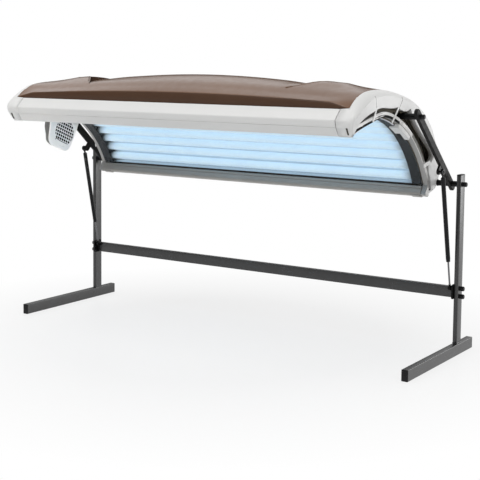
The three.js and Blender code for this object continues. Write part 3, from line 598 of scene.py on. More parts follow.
# Lift arms.
def arm(name, side):
    run = math.hypot(*ARM_BOLT)
    ahead = Vector(ARM_BOLT) / run
    across = Vector((-ahead.y, ahead.x))
    half = ARM_WIDE / 2
    line = []
    for centre, first in ((run + ARM_TIP - half, -90), (half - ARM_TAIL, 90)):
        for i in range(ARM_STEPS + 1):
            angle = math.radians(first + 180 * i / ARM_STEPS)
            point = ahead * (centre + half * math.cos(angle)) + across * (half * math.sin(angle))
            line.append(point)
    bar = prism(line, ARM_INNER, ARM_OUTER, side)
    piece(f"{name}_arm_bar", bar, ARM_PAINT, CANOPY, [f"{name}_arm"], bevel=3, segments=4)
    stud = Vector(ARM_STUD)
    foot_point = ahead * stud.dot(ahead)
    down = (stud - foot_point).normalized()
    lug_line = []
    for i in range(ARM_STEPS + 1):
        angle = math.radians(-90 + 180 * i / ARM_STEPS)
        point = stud + down * (LUG_RADIUS * math.cos(angle)) + ahead * (LUG_RADIUS * math.sin(angle))
        lug_line.append(point)
    wide = ahead * LUG_RADIUS
    lug_line += [foot_point + wide, foot_point - wide]
    lug = prism(lug_line, ARM_INNER + 4, ARM_OUTER - 2, side)
    end = SPRING_X + EYE_WIDE / 2 + 2
    pin = turned(((STUD_RADIUS, ARM_OUTER - 3), (STUD_RADIUS, end - 1.4), (6.4, end - 1.2), (6.4, end - 0.4),
                  (5.6, end)), ARM_STUD, 24, side)
    bore = PIN_RADIUS + GAP
    boss = ring_section(SLEEVE_RADIUS, bore, side * ARM_OUTER, side * (FOOT_INNER - 0.5), (0, 0))
    shape = merge(lug, pin, boss)
    for centre, first in (((0, 0), CAP_END + GAP), (ARM_BOLT, PLATE_FACE)):
        sleeve = ring_section(SLEEVE_RADIUS, bore, side * first, side * ARM_INNER, centre)
        collar = ring_section(SLEEVE_RADIUS + 2, PIN_RADIUS + 2, side * first, side * (first + COLLAR_LONG),
                              centre)
        shape = merge(shape, sleeve, collar)
    piece(f"{name}_arm_sleeves", shape, BLACK_HARDWARE, CANOPY, [f"{name}_arm"], bevel=0.6)
    knob(f"{name}_arm_knob", f"{name}_arm_bolt", side, ARM_BOLT, ARM_OUTER + GAP, PIN_END, PIN_RADIUS, CANOPY)


# Gas springs, drawn upright from the lower stud and then leaned to the arm.
def springs(name, side):
    lean = joints[f"{name}_spring_stroke"]["axis"]
    place = (Matrix.Translation((side * SPRING_X * MM, POST_FRONT + LOW_STUD[0] * MM, LOW_STUD[1] * MM))
             @ Matrix.Rotation(math.atan2(-lean[1], lean[2]), 4, "X") @ Matrix.Scale(MM, 4))
    top = (place.inverted() @ (ON_CANOPY @ Vector((side * SPRING_X, *ARM_STUD)))).z
    low = top - SPRING_LENGTH
    crimp = CYLINDER_RADIUS * 0.93
    body = turned(((ROD_RADIUS + 0.4, low + 1), (7.4, low), (9.2, low + 0.8), (crimp, low + 3),
                   (crimp, low + 9), (CYLINDER_RADIUS, low + 11), (CYLINDER_RADIUS, top - 30),
                   (crimp, top - 27.5), (6.5, top - 25.5), (4.6, top - 24), (4.6, top - 17), (7, top - 15.5),
                   (7, top - 9)), axis="z")
    half = EYE_WIDE / 2
    eye = ring_section(13, 8, -half, half, (0, top))
    bush = ring_section(8.4, 5.7, -half - 0.6, half + 0.6, (0, top))
    piece(f"{name}_spring_tube", merge(body, eye, bush), SPRING_BLACK, (place, f"{name}_cylinder"),
          [f"{name}_spring_cylinder"])
    rod = turned(((ROD_RADIUS, 16), (ROD_RADIUS, ROD_LENGTH - PISTON_LONG),
                  (PISTON_RADIUS, ROD_LENGTH - PISTON_LONG), (PISTON_RADIUS, ROD_LENGTH)), axis="z")
    neck = turned(((6, 7), (6, 16), (5, 17.5), (ROD_RADIUS, 18)), count=6, axis="z")
    low_eye = ring_section(11, 4.4, -half, half, (0, 0))
    piece(f"{name}_spring_piston", rod, ROD_STEEL, (place, f"{name}_rod"), [f"{name}_spring_rod"],
          extra=[(merge(neck, low_eye), BLACK_HARDWARE)])


for side_name, side in SIDES.items():
    arm(side_name, side)
    springs(side_name, side)


# Top shell: one lofted skin. Near each end a low pod rises from it, with a scoop under a slanted lip.
def strip_height(x):
    reach = min(abs(x), STRIP_KNEE)
    height = STRIP_MIDDLE * (1 - STRIP_FALL * (reach / STRIP_KNEE) ** 2)
    taper = max(0.0, (abs(x) - STRIP_KNEE) / (SHELL_HALF - STRIP_KNEE))
    return height + taper * (STRIP_END - height)


def roof_line(x):
    crown = (1 - min(1.0, abs(x) / SHELL_HALF) ** 2) ** CROWN_POWER
    points = [(y, z + rise * crown) for (y, z), rise in zip(SHELL_CURVE, CROWN)]
    points[0] = (points[0][0], BAND[-1][1] + strip_height(x))
    return spline(points, ROOF_STEPS)


def pod_share(at, y):
    left_over = min(1.0, max(0.0, (SHELL_HALF - at) / (SHELL_HALF - POD_TOP)))
    return smooth(*POD_FRONT, y) * (1 - smooth(*POD_REAR, y)) * left_over ** POD_FADE


def lip_shift(y):
    """How far the lip runs out from the scoop's front corner; behind the scoop it runs back."""
    reach = SCOOP_REACH * min(1.0, max(0.0, (y - SCOOP_FRONT) / (SCOOP_REAR - SCOOP_FRONT)))
    return reach * (1 - smooth(SCOOP_REAR, POD_END, y))


def roof_point(at, y, i):
    """A point on the roof, which slants and dips a little before a pod."""
    near = smooth(POD_NEAR, POD_MOUTH, at)
    slant = SCOOP_SLANT * max(0.0, min(y, SCOOP_CLOSE) - SCOOP_FRONT) * (1 - smooth(SCOOP_CLOSE, POD_END, y))
    x = at + slant * near
    return x, roof_line(x)[i][1] - POD_DIP * smooth(*DIP_FRONT, y) * (1 - smooth(*DIP_REAR, y)) * near


def pod_point(at, y, i, level):
    """A point on the pod or on the lip of its scoop."""
    shift = lip_shift(y) * (1 - smooth(POD_MOUTH, SCOOP_FADE, at))
    x = at + shift
    z = roof_line(x)[i][1]
    if SCOOP_FRONT < y < SCOOP_REAR + 10:
        height = POD_HEIGHT * pod_share(at, y)
        begun = min(1.0, shift / LIP_START)
        sink = SCOOP_SINK * begun
        thick = min(LIP_THICK, 0.3 * (height + sink))
        deep = LIP_DEEP * begun
    else:
        height = POD_HEIGHT * pod_share(at, y) * smooth(POD_MOUTH, POD_MOUTH + SCOOP_REACH, x)
        sink = thick = deep = 0.0
    rise = (-sink, height - thick, height - thick, height)[level - 1]
    return x + (deep if level < 3 else 0.0), z + rise


def shell_row(side, at, level=0):
    """One row of the shell's points, at the given distance from the middle.

    Level 0 lies on the roof and 4 on the pod. 1 to 3 are the foot, the inside and the lower edge of a lip.
    """
    row = []
    for i, (y, _) in enumerate(roof_line(0)):
        x, z = pod_point(at, y, i, level) if level else roof_point(at, y, i)
        row.append((side * x, y, z))
    crease, after = Vector(row[0]), Vector(row[1])
    foot_point = Vector((row[0][0], BAND[-1][0], BAND[-1][1] + GAP))
    tall = (crease - foot_point).length
    reach = min(5.0, tall * 0.45)
    lower = crease.lerp(foot_point, reach / tall)
    upper = crease.lerp(after, reach / (after - crease).length)
    soft = (lower + upper) / 4 + crease / 2
    return [foot_point, lower, soft, upper, *row[1:]]


def open_skin(name, rows, marked, looks, node, sharp, wall):
    """A wall over open rows of points, turned to face up. Faces that marked picks have the second look."""
    points, faces = loft(rows, around=False)
    plain = [face for number, face in enumerate(faces) if not marked(number)]
    others = [face for number, face in enumerate(faces) if marked(number)]
    obj = piece(name, (points, plain), looks[0], CANOPY, [node], sharp=sharp, wall=wall, outward=False,
                extra=[((points, others), looks[1])])
    if sum(polygon.normal.z * polygon.area for polygon in obj.data.polygons) < 0:
        obj.data.flip_normals()
    return obj


def top_shell():
    plain = [(POD_MOUTH * i / 14, 0) for i in range(1, 15)]
    fold = [(POD_MOUTH, level) for level in (1, 2, 3, 4)]
    half = plain + fold + [(x, 4) for x in POD_STATIONS]
    rows = [shell_row(-1, *station) for station in reversed(half)] + [shell_row(1, 0)]
    rows += [shell_row(1, *station) for station in half]
    columns = len(rows[0]) - 1
    left_mouth = len(half) - len(plain) - 1
    # Painted shade: the floor and walls of the left pod's scoop take the darker brown.
    shaded_mouths = {left_mouth, left_mouth - 1, left_mouth - 2}

    def dark(number):
        y = rows[0][number % columns][1]
        return number // columns in shaded_mouths and SCOOP_FRONT - 1 < y < SCOOP_CLOSE + 35

    return open_skin("top_shell_skin", rows, dark, (BROWN, SHADE_BROWN), "top_shell", 48,
                     SHELL_WALL)


shell = top_shell()
# Painted shade: strip faces below the crease that look forwards and down take the darker brown.
to_level = ON_CANOPY.inverted()
for polygon in shell.data.polygons:
    local = to_level @ polygon.center
    facing = (to_level.to_3x3() @ polygon.normal).normalized()
    if facing.y < SHADED_STRIP_FACING and local.y < BAND[-1][0] + 3:
        polygon.material_index = 1


# Front band: three facets with a groove between the lower two.
def front_band():
    lip, low, groove, nose, top = (Vector(point) for point in BAND)
    to_nose, to_low = (nose - groove).normalized(), (low - groove).normalized()
    inward = Vector((to_nose.y, -to_nose.x))
    notch = [groove + to_low * 1.6, groove + inward * 3.2, groove + to_nose * 1.6]
    line = [lip, low, *notch, nose, top, *(Vector(point) for point in BAND_BACK)]
    outline = fillet(line, [3, 5, 0.4, 0.3, 0.4, 9, 2.5, 1, 1], 5)
    piece("front_band_extrusion", prism(outline, -BAND_HALF, BAND_HALF), WHITE, CANOPY, ["front_band"],
          bevel=0.7, sharp=30)


front_band()


# End caps: the wall carries on the shell, rounds over and runs in to an arched opening.
def subdivide(points, longest):
    result = [points[0]]
    for (y0, z0), (y1, z1) in zip(points, points[1:]):
        count = max(1, math.ceil(math.hypot(y1 - y0, z1 - z0) / longest))
        result += [(y0 + (y1 - y0) * k / count, z0 + (z1 - z0) * k / count) for k in range(1, count + 1)]
    return result


def lengths(points):
    total, result = 0.0, [0.0]
    for (y0, z0), (y1, z1) in zip(points, points[1:]):
        total += math.hypot(y1 - y0, z1 - z0)
        result.append(total)
    return result


def at_length(points, marks, wanted):
    for i in range(1, len(points)):
        if marks[i] >= wanted or i == len(points) - 1:
            t = (wanted - marks[i - 1]) / max(1e-9, marks[i] - marks[i - 1])
            return tuple(a + (b - a) * t for a, b in zip(points[i - 1], points[i]))


def nearest(points, wanted):
    return min(range(len(points)), key=lambda i: math.dist(points[i], wanted))


def end_hood(name, side):
    band = fillet(BAND, [0, 5, 1, 9, 2], 4, closed=False)
    line = subdivide([*band, *spline(SHELL_CURVE, 6)], 14)
    opening = spline(END_OPENING, 6)
    line_marks, opening_marks = lengths(line), lengths(opening)
    band_end = line_marks[nearest(line, BAND[-1])]
    seams = [(line_marks[nearest(line, a)], opening_marks[nearest(opening, b)]) for a, b in CAP_SEAMS]
    knots = [(0.0, 0.0), *seams, (line_marks[-1], opening_marks[-1])]
    marks = sorted(set(line_marks) | {mark + shift for mark, _ in seams for shift in (-SEAM_HALF, SEAM_HALF)})
    outer = [at_length(line, line_marks, mark) for mark in marks]
    inner, dips = [], []
    for mark in marks:
        for (a0, b0), (a1, b1) in zip(knots, knots[1:]):
            if a0 <= mark <= a1:
                inner.append(at_length(opening, opening_marks, b0 + (b1 - b0) * (mark - a0) / (a1 - a0)))
                break
        dips.append(max(0.0, 1 - min(abs(mark - seam) for seam, _ in seams) / SEAM_HALF))

    def softened(mark):
        """The outline evened out along the band, where the hood rounds its facets off."""
        reach = CAP_SOFT * smooth(0, 40, mark) * (1 - smooth(band_end + 20, band_end + 90, mark))
        samples = [at_length(line, line_marks, mark + reach * k / 4) for k in range(-4, 5)]
        return tuple(sum(values) / len(samples) for values in zip(*samples))

    def drawn_back(mark, length):
        return CAP_END - CAP_BACK * max(0.0, 1 - mark / length)

    soft = [softened(mark) for mark in marks]
    inward = normals(soft)
    rounding = [CAP_ROUND + CAP_ROUND_MORE * smooth(0.5 * band_end, band_end + 70, mark) for mark in marks]
    starts = [BAND_HALF + 3.2 if mark <= band_end + 0.01 else SHELL_HALF + GAP for mark in marks]
    ends = [drawn_back(mark, CAP_LINE_BACK) for mark in marks]
    inner_ends = [drawn_back(opening_marks[nearest(opening, point)], CAP_OPENING_BACK) for point in inner]

    def ring(angle, start=False):
        points = []
        stations = zip(outer if start else soft, inward, rounding, starts, ends, dips)
        for (y, z), (ny, nz), radius, first, last, dip in stations:
            sunk = SEAM_DEEP * dip * smooth(0.6, 1.0, angle / CAP_SHOULDER)
            moved = radius * (1 - math.cos(angle)) + sunk
            x = first if start else last - radius * (math.sin(CAP_SHOULDER) - math.sin(angle)) - sunk
            points.append((side * x, y + ny * moved, z + nz * moved))
        return points

    rings = [ring(0, True), [(side * (SHELL_HALF + GAP), y, z) for _, y, z in ring(0)]]
    rings += [ring(CAP_SHOULDER * k / CAP_STEPS) for k in range(CAP_STEPS + 1)]
    edge = rings[-1]
    for share, back in CAP_FACE:
        face = []
        for (_, y0, z0), (y1, z1), dip, last, inner_last in zip(edge, inner, dips, ends, inner_ends):
            x = last + (inner_last - last) * share - back - SEAM_DEEP * dip
            face.append((side * x, y0 + (y1 - y0) * share, z0 + (z1 - z0) * share))
        rings.append(face)
    columns = len(marks) - 1
    in_seam = [max(dips[i], dips[i + 1]) > 0.5 for i in range(columns)]

    # Painted shade: faces in the seam grooves take the near-black gap shade.
    def dark(number):
        return number // columns > CAP_STEPS and in_seam[number % columns]

    open_skin(f"{name}_end_hood", rings, dark, (WHITE, GAP_SHADE), f"{name}_end_cap", 25,
              CAP_WALL)


def end_trims(name, side):
    """The struts across the vent of a hood, and a narrow slot of painted shade at the end of its band."""
    struts = []
    for a, b, across in STRUTS:
        start, end = Vector(a), Vector(b)
        run = (end - start).normalized()
        wide = Vector((-run.y, run.x)) * (across / 2)
        corners = (start + wide, start - wide, end - wide, end + wide)
        struts.append(prism(corners, RAIL_OUTER + GAP, CAP_END - 0.2, side))
    piece(f"{name}_end_struts", merge(*struts), WHITE, CANOPY, [f"{name}_end_cap"],
          bevel=1.5)
    # Painted shade: the slot is a dark olive insert along the end of the band, where the band's rounded end
    # lies in shade.
    groove, low = Vector(BAND[2]), Vector(BAND[1])
    run = (low - groove).normalized()
    out = Vector((-run.y, run.x)) * -0.25
    near, far = groove + run * SHADE_SLOT_FROM, groove + run * SHADE_SLOT_TO
    corners = (near + out, far + out, far - out * 8, near - out * 8)
    slot = prism(fillet(corners, 0.1, 2), SHADE_SLOT_INNER, SHADE_SLOT_OUTER, side)
    piece(f"{name}_end_shade_slot", slot, SHADE_OLIVE, CANOPY, bevel=0.1)


# End rails, catches, rear rail, sheet.
def set_back(shape, side):
    """The front end of a rail piece drawn in, so that it stays behind the slanted end of the hood."""
    points, faces = shape
    moved = []
    for x, y, z in points:
        back = 0.9 * CAP_BACK * max(0.0, 1 - math.dist((y, z), RUN_LIP) / CAP_OPENING_BACK)
        moved.append((x - side * back, y, z))
    return moved, faces


def end_rail(name, side):
    low, high = RAIL_LOW - ARCH_RADIUS, RAIL_HIGH - ARCH_RADIUS
    line = arch_line(high, ARCH_REAR - 2)
    y, z = REAR_REAR - RAIL_CORNER, REAR_LOW + RAIL_CORNER
    for i in range(9):
        angle = math.radians(-90 * i / 8)
        line.append((y + RAIL_CORNER * math.cos(angle), z + RAIL_CORNER * math.sin(angle)))
    line.append((REAR_FRONT, REAR_LOW))
    line += arch_line(low)[::-1]
    rail = prism(line, RAIL_INNER, RAIL_OUTER, side)
    piece(f"{name}_end_trim", set_back(rail, side), END_TRIM, CANOPY, [f"{name}_end_rail"],
          bevel=2.0, sharp=40)
    # Painted shade: the gap strip is near-black and stands for the shaded gap between the rail and the lamps.
    for label, start, end, look, slot in (("strip", low + 9, high - 0.6, WHITE, "white_plastic"),
                                          ("gap", low - 2.5, low + 8.6, GAP_SHADE, "charcoal_plastic")):
        skin = arch_skin(start, end, CATCH_FROM - GAP)
        face = prism(skin, RAIL_OUTER - 1.5, RAIL_OUTER + 0.2, side)
        piece(f"{name}_rail_{label}", set_back(face, side), look, CANOPY, bevel=0.4)
    # Painted reflection: a dark olive strip on the rail's end face stands for the dark that the face mirrors.
    cover = arc_band(RAIL_LOW + 6, RAIL_HIGH - 0.6, CATCH_TO + 1.5, SHADE_STRIP_END, 24)
    piece(f"{name}_rail_shade_strip", prism(cover, RAIL_OUTER - 1, RAIL_OUTER + 0.2, side), SHADE_OLIVE, CANOPY,
          bevel=0.3)


def sheet_catch(name, side):
    def bent(low, high, first, last, start, end):
        return prism(arc_band(low, high, start, end, 6), first, last, side)

    block = bent(CATCH_LOW, CATCH_HIGH, CATCH_SEAT, CATCH_OUTER, CATCH_FROM, CATCH_TO)
    lip = bent(CATCH_LOW + 2, CATCH_LIP, CATCH_INNER, CATCH_SEAT + 1, CATCH_FROM + 0.4, 7.8)
    latch = bent(CATCH_LOW + 1, CATCH_LIP - 1, CATCH_INNER + 4, CATCH_SEAT, 8.0, CATCH_TO - 0.8)
    # Painted shade: the left catch takes the grey trim where the right one is white.
    look = WHITE if side > 0 else END_TRIM
    piece(f"{name}_sheet_clip", merge(block, lip), look, CANOPY, [f"{name}_sheet_catch"],
          bevel=1.4, extra=[(latch, CHARCOAL)])


def plate_ribs(name, side):
    """Two arched ribs pressed into the end plate, seen through the vent."""
    ribs = []
    for radius, start, end in PLATE_RIBS:
        line = arc_band(radius - 4, radius + 4, start, end, 24)
        ribs.append(prism(line, PLATE_FACE - 1, PLATE_FACE + 6, side))
    piece(f"{name}_plate_ribs", merge(*ribs), END_PLATE, CANOPY, bevel=2.0)


def rear_rail():
    middle = (REAR_LOW + REAR_HIGH) / 2
    line = [(REAR_FRONT, REAR_LOW), (REAR_REAR, REAR_LOW), (REAR_REAR, REAR_HIGH), (REAR_FRONT, REAR_HIGH),
            (REAR_FRONT, middle + 9), (REAR_FRONT + 2.5, middle + 8), (REAR_FRONT + 2.5, middle + 6),
            (REAR_FRONT, middle + 5)]
    outline = fillet(line, [9, 12, 5, 5, 0.4, 0.3, 0.3, 0.4], 5)
    piece("rear_rail_extrusion", prism(outline, -REAR_HALF, REAR_HALF), GREY_RAIL, CANOPY, ["rear_rail"],
          bevel=0.8, sharp=30)
    section = rectangle(REAR_FRONT + 4, REAR_LOW - 3, REAR_REAR - 6, REAR_LOW + 1, 1)
    for name, side in SIDES.items():
        plate = prism(section, RAIL_FOOT_INNER, RAIL_FOOT_OUTER, side)
        piece(f"{name}_rail_foot", plate, GREY_RAIL, CANOPY, bevel=1.0)


def acrylic_sheet():
    half = RAIL_INNER - GAP
    piece("acrylic_sheet_skin", prism(arch_skin(0, SHEET_THICK), -half, half), CLEAR, CANOPY,
          ["acrylic_sheet"], sharp=30)
    skin = arch_skin(-0.2, SHEET_THICK + 0.2, CATCH_FROM - 0.2)
    for name, side in SIDES.items():
        edge = prism(skin, RAIL_INNER - SHEET_EDGE_WIDE, RAIL_INNER - 0.2, side)
        piece(f"{name}_sheet_edge", edge, SHEET_EDGE, CANOPY, ["acrylic_sheet"], bevel=0.5)


def lamps():
    rounds = ((0.62, 0.0), (0.86, 1.2), (0.97, 4.0), (1.0, 9.0))
    glass = [(LAMP_RADIUS * share, -GLASS_HALF + along) for share, along in rounds]
    glass += [(LAMP_RADIUS * share, GLASS_HALF - along) for share, along in reversed(rounds)]
    steps = ((-0.6, 0.6), (0.2, 1), (0.2, 6), (-1.5, 8), (-8, 8.4))
    cap = [(LAMP_RADIUS + grow, GLASS_HALF + along) for grow, along in steps]
    pin = ((1.3, GLASS_HALF + 8), (1.3, LAMP_HALF - 1), (0.7, LAMP_HALF))
    for i in range(LAMP_COUNT):
        centre = on_arch(LAMP_CIRCLE, LAMP_FIRST + i * LAMP_STEP)
        ends = []
        for side in SIDES.values():
            ends.append(turned(cap, centre, 28, side))
            ends += [turned(pin, (centre[0] + offset, centre[1]), 10, side) for offset in (-6, 6)]
        name = f"lamp_{i + 1:02d}"
        piece(f"{name}_tube", turned(glass, centre, 28), LAMP_GLASS, CANOPY, [name],
              extra=[(merge(*ends), CAP_METAL)])


def reflector():
    """Bright sheet with a low ridge between each pair of lamps and a lip that turns in over the rear rail."""
    line = [on_arch(radius, angle) for radius, angle in REFLECTOR_LIP]
    for i in range(-1, 2 * LAMP_COUNT):
        angle = LAMP_FIRST + LAMP_STEP * i / 2
        if ARCH_FRONT + 0.4 < angle < ARCH_REAR - 0.8:
            line.append(on_arch(REFLECTOR_RADIUS - (REFLECTOR_RIDGE if i % 2 else 0), angle))
    line = fillet(line, 16, 3, closed=False)
    outline = line + beside(line, REFLECTOR_THICK)[::-1]
    piece("reflector_sheet", prism(outline, -REFLECTOR_HALF, REFLECTOR_HALF), ALUMINIUM, CANOPY,
          ["reflector"], sharp=50)


for side_name, side in SIDES.items():
    end_hood(side_name, side)
    end_trims(side_name, side)
    end_rail(side_name, side)
    sheet_catch(side_name, side)
    plate_ribs(side_name, side)
rear_rail()
acrylic_sheet()
lamps()
reflector()


# Body fan.
def fan_outline():
    middle, top, shoulder, wide, narrow, low, corner = -437, 146, 60, 104, 77, -75, 46
    points = [(middle - wide, shoulder), (middle - narrow, low), (middle + narrow, low),
              (middle + wide, shoulder), (middle + wide, top), (middle - wide, top)]
    return fillet(points, [30, corner, corner, 30, corner, corner], 8)


def by_angle(outline, centre, count):
    """The outline where evenly turned rays from the centre meet it."""
    result = []
    for k in range(count):
        angle = 2 * math.pi * k / count
        ray = Vector((math.cos(angle), math.sin(angle)))
        best = 0.0
        for a, b in zip(outline, outline[1:] + outline[:1]):
            p, run = Vector(a) - Vector(centre), Vector(b) - Vector(a)
            cross = ray.x * run.y - ray.y * run.x
            if abs(cross) < 1e-9:
                continue
            along = (p.x * run.y - p.y * run.x) / cross
            share = (p.x * ray.y - p.y * ray.x) / cross
            if -1e-6 <= share <= 1 + 1e-6:
                best = max(best, along)
        result.append((centre[0] + ray.x * best, centre[1] + ray.y * best))
    return result


def fan_housing(centre):
    edge = by_angle(fan_outline(), centre, FAN_POINTS)

    def ring(x, drawn_in, at_low=0.0):
        """The outline drawn in; at_low adds to that round the foot of the housing."""
        points = []
        for y, z in edge:
            away = Vector((y - FAN_Y, z - FAN_Z))
            near = away * (1 - (drawn_in + at_low * smooth(20, -55, z)) / away.length)
            points.append((-x, FAN_Y + near.x, FAN_Z + near.y))
        return points

    def round_ring(x, radius):
        return [(-x, y, z) for y, z in circle(centre, radius, FAN_POINTS)]

    front = [round_ring(FAN_INNER + 6, FAN_POCKET), round_ring(FAN_INNER + 1, FAN_POCKET),
             round_ring(FAN_INNER, FAN_POCKET + 1), ring(FAN_INNER, 4), ring(FAN_INNER + 0.9, 2.2),
             ring(FAN_INNER + 3, 0.8), ring(FAN_INNER + 5, 0), ring(FAN_SPLIT - 1, 0), ring(FAN_SPLIT, 1.0),
             ring(FAN_SPLIT, 3)]
    back = [ring(FAN_SPLIT, 3), ring(FAN_SPLIT, 1.4), ring(FAN_SPLIT + 1, 0.4), ring(FAN_SPLIT + 14, 0.6, 4),
            ring(FAN_OUTER - 12, 1.0, 13), ring(FAN_OUTER - 6, 3, 19), ring(FAN_OUTER - 2, 7, 23),
            ring(FAN_OUTER, 14, 22), round_ring(FAN_OUTER, 46), round_ring(FAN_OUTER - 2, 44),
            round_ring(FAN_OUTER - 2, 24), round_ring(FAN_OUTER, 22), round_ring(FAN_OUTER, 0.01)]
    bowl = [round_ring(FAN_INNER + 6, FAN_POCKET), round_ring(FAN_INNER + 30, FAN_POCKET - 2),
            round_ring(FAN_OUTER - 6, FAN_POCKET - 12), round_ring(FAN_OUTER - 5, FAN_POCKET - 18),
            round_ring(FAN_OUTER - 5, 0.01)]
    # Painted shade: the back shell is white plastic drawn grey.
    for name, rings, look, slot in (("fan_front_shell", front, FAN_WHITE, "white_plastic"),
                                    ("fan_back_shell", back, FAN_SHADE_GREY, "white_plastic"),
                                    ("fan_bowl", bowl, BLACK_PLASTIC, "charcoal_plastic")):
        piece(name, loft(rings, ends=False), look, CANOPY, ["fan_housing"], sharp=40)
    tabs = [prism(rectangle(start, FAN_TAB_LOW, end, high, 8), FAN_INNER, FAN_INNER + FAN_TAB_THICK, -1)
            for start, end, high in FAN_TABS]
    piece("fan_hanger_tabs", merge(*tabs), WHITE, CANOPY, ["fan_housing"], bevel=1.0)
    # Painted shade: the hooked slot is a flat near-black strip laid on the fan's face.
    hook = spline(FAN_HOOK, 4)
    outline = beside(hook, 1.7) + beside(hook, -1.7)[::-1]
    slot = prism(outline, FAN_INNER - 0.2, FAN_INNER + 2, -1)
    piece("fan_side_slot", slot, GAP_SHADE, CANOPY, bevel=0.15)


def fan_grille(centre):
    face, back = FAN_INNER, FAN_INNER + GRILLE_THICK
    parts = [ring_section(GRILLE_RADIUS, GRILLE_RADIUS - GRILLE_RIM, -face, -back, centre, 64)]
    reach = GRILLE_RADIUS - GRILLE_RIM + 1
    foot_rise = (1 - GRILLE_ROWS / 2) * GRILLE_PITCH
    half_turn = math.acos(-foot_rise / reach)
    turns = [half_turn * k / 12 for k in range(-12, 13)]
    foot_line = [(FAN_Y + reach * math.sin(turn), FAN_Z - reach * math.cos(turn)) for turn in turns]
    parts.append(prism(foot_line, face, back, -1))
    for i in range(1, GRILLE_ROWS):
        rise = (i - GRILLE_ROWS / 2) * GRILLE_PITCH
        half = math.sqrt(reach ** 2 - rise ** 2)
        bar = rectangle(FAN_Y - half, FAN_Z + rise - 2, FAN_Y + half, FAN_Z + rise + 2, 1)
        parts.append(prism(bar, face + GAP, back, -1))
    for i in range(-4, 4):
        shift = (i + 0.5) * GRILLE_PITCH
        half = math.sqrt(reach ** 2 - shift ** 2)
        low = FAN_Z + max(-half, foot_rise)
        bar = rectangle(FAN_Y + shift - 1.1, low, FAN_Y + shift + 1.1, FAN_Z + half, 0.5)
        parts.append(prism(bar, face + 0.9, back + 0.4, -1))
    piece("fan_grille_bars", merge(*parts), FAN_WHITE, CANOPY, ["fan_grille"], bevel=0.3,
          segments=2)


fan_housing((FAN_Y, FAN_Z))
fan_grille((FAN_Y, FAN_Z))

# CAD nodes that keep their shape.
KEPT = {"left_end_plate": END_PLATE, "right_end_plate": END_PLATE, "ballast_tray": ALUMINIUM,
        "fan_motor": BLACK_PLASTIC, "fan_impeller": BLACK_PLASTIC, "mains_inlet": BLACK_PLASTIC}
for node_name, look in KEPT.items():
    node = nodes[node_name]
    node.data.materials.clear()
    node.data.materials.append(look)
    round_edges(node, 0.6, 2)


# Stage: a pale floor that keeps the shadow and runs out to white.
def backdrop_rays(tree):
    """1 for rays from the camera, and for those that metal and glass send on."""
    rays = add(tree, "LightPath").outputs
    highest = calculate(tree, "MAXIMUM", rays["Is Camera Ray"], rays["Is Glossy Ray"])
    return calculate(tree, "MAXIMUM", highest, rays["Is Transmission Ray"])


def floor():
    bpy.ops.mesh.primitive_plane_add(size=22, location=(0, 0, -0.0005))
    plane = bpy.context.object
    plane.name = "studio_floor"
    material, tree, bsdf = shader("studio_floor")
    pale = drift(tree, noise(tree, 1.5), (0.80, 0.80, 0.80), (0.82, 0.82, 0.82))
    put(tree, bsdf, {"Base Color": pale, "Roughness": 0.35})
    distance = add(tree, "VectorMath", {0: coordinates(tree)}, operation="LENGTH").outputs["Value"]
    far = spread_value(tree, distance, 0.72, 1.0, 0.8, 1.8)
    share = calculate(tree, "MULTIPLY", backdrop_rays(tree), far)
    glow = add(tree, "Emission").outputs["Emission"]
    mixed = add(tree, "MixShader", {"Fac": share, 1: bsdf.outputs["BSDF"], 2: glow}).outputs["Shader"]
    put(tree, tree.nodes["Material Output"], {"Surface": mixed})
    plane.data.materials.append(material)


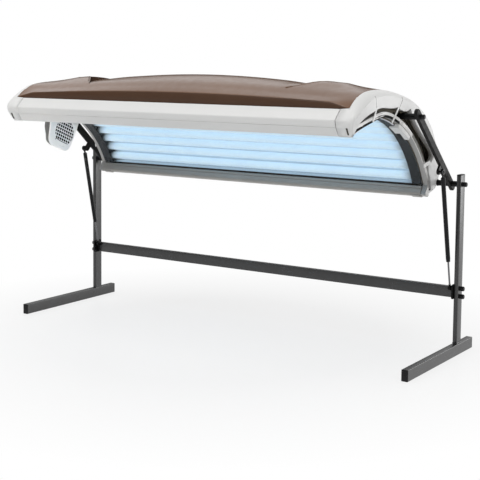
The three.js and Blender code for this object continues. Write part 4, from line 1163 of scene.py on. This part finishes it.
def world():
    """White to the camera. Surfaces mirror a dark wall behind the left end, and less light from the front."""
    scene.world = bpy.data.worlds.new("studio")
    scene.world.use_nodes = True
    tree = scene.world.node_tree
    way = coordinates(tree, "Generated")
    mirrored = spread_value(tree, axis_of(tree, way, "Y"), 0.12, 1.0, -0.5, 0.5)
    towards = add(tree, "VectorMath", {0: way, 1: (-0.55, 0.835, 0.0)}, operation="DOT_PRODUCT")
    wall = spread_value(tree, towards.outputs["Value"], 1.0, 0.02, 0.93, 0.975)
    rays = add(tree, "LightPath").outputs
    level = 0.61
    for key, value in (("Is Glossy Ray", calculate(tree, "MULTIPLY", mirrored, wall)), ("Is Camera Ray", 1.0),
                       ("Is Transmission Ray", 1.0)):
        level = add(tree, "Mix", {"Factor": rays[key], "A": level, "B": value}).outputs["Result"]
    put(tree, tree.nodes["Background"], {"Strength": level, "Color": (1.0, 1.0, 1.0, 1.0)})


def softbox(name, place, target, size, watts, spread=180, tint=(1.0, 1.0, 1.0)):
    data = bpy.data.lights.new(name, "AREA")
    data.shape = "RECTANGLE"
    data.size, data.size_y = size
    data.energy = watts
    data.spread = math.radians(spread)
    data.color = tint
    light = bpy.data.objects.new(name, data)
    light.location = place
    light.rotation_euler = (Vector(target) - Vector(place)).to_track_quat("-Z", "Y").to_euler()
    scene.collection.objects.link(light)


def camera():
    """The photograph's view: its optical axis runs above the middle of the frame."""
    azimuth, pitch, roll = math.radians(33.32), math.radians(5.02), math.radians(0.57)
    level = math.cos(pitch)
    forward = Vector((-math.sin(azimuth) * level, math.cos(azimuth) * level, -math.sin(pitch)))
    right = Vector((math.cos(azimuth), math.sin(azimuth), 0))
    up = right.cross(forward)
    right, up = right * math.cos(roll) + up * math.sin(roll), up * math.cos(roll) - right * math.sin(roll)
    data = bpy.data.cameras.new("photo_view")
    data.sensor_width = 36
    data.lens = 84.32
    data.shift_y = -0.1667
    data.clip_end = 200
    view = bpy.data.objects.new("photo_view", data)
    rotation = Matrix((right, up, -forward)).transposed().to_4x4()
    view.matrix_world = Matrix.Translation((2.9851, -4.3853, 1.3089)) @ rotation
    scene.collection.objects.link(view)
    scene.camera = view


floor()
world()
softbox("key", (-2.2, -5.0, 2.4), (-0.2, -0.3, 0.9), (3.2, 2.6), 16)
softbox("top", (-0.6, -1.8, 4.6), (-0.1, -0.2, 0.9), (3.2, 2.4), 62)
softbox("side", (5.4, -2.6, 1.1), (0, 0, 0.9), (0.6, 2.2), 24)
softbox("rear", (3.6, 4.4, 1.2), (0.9, 0, 0.6), (1.6, 2.4), 45)
softbox("low", (0.7, -2.7, 0.3), (-0.985, -0.06, 0.90), (0.3, 0.25), 0.16, 10, (1.0, 0.92, 0.82))
camera()
scene.view_settings.view_transform = "Standard"
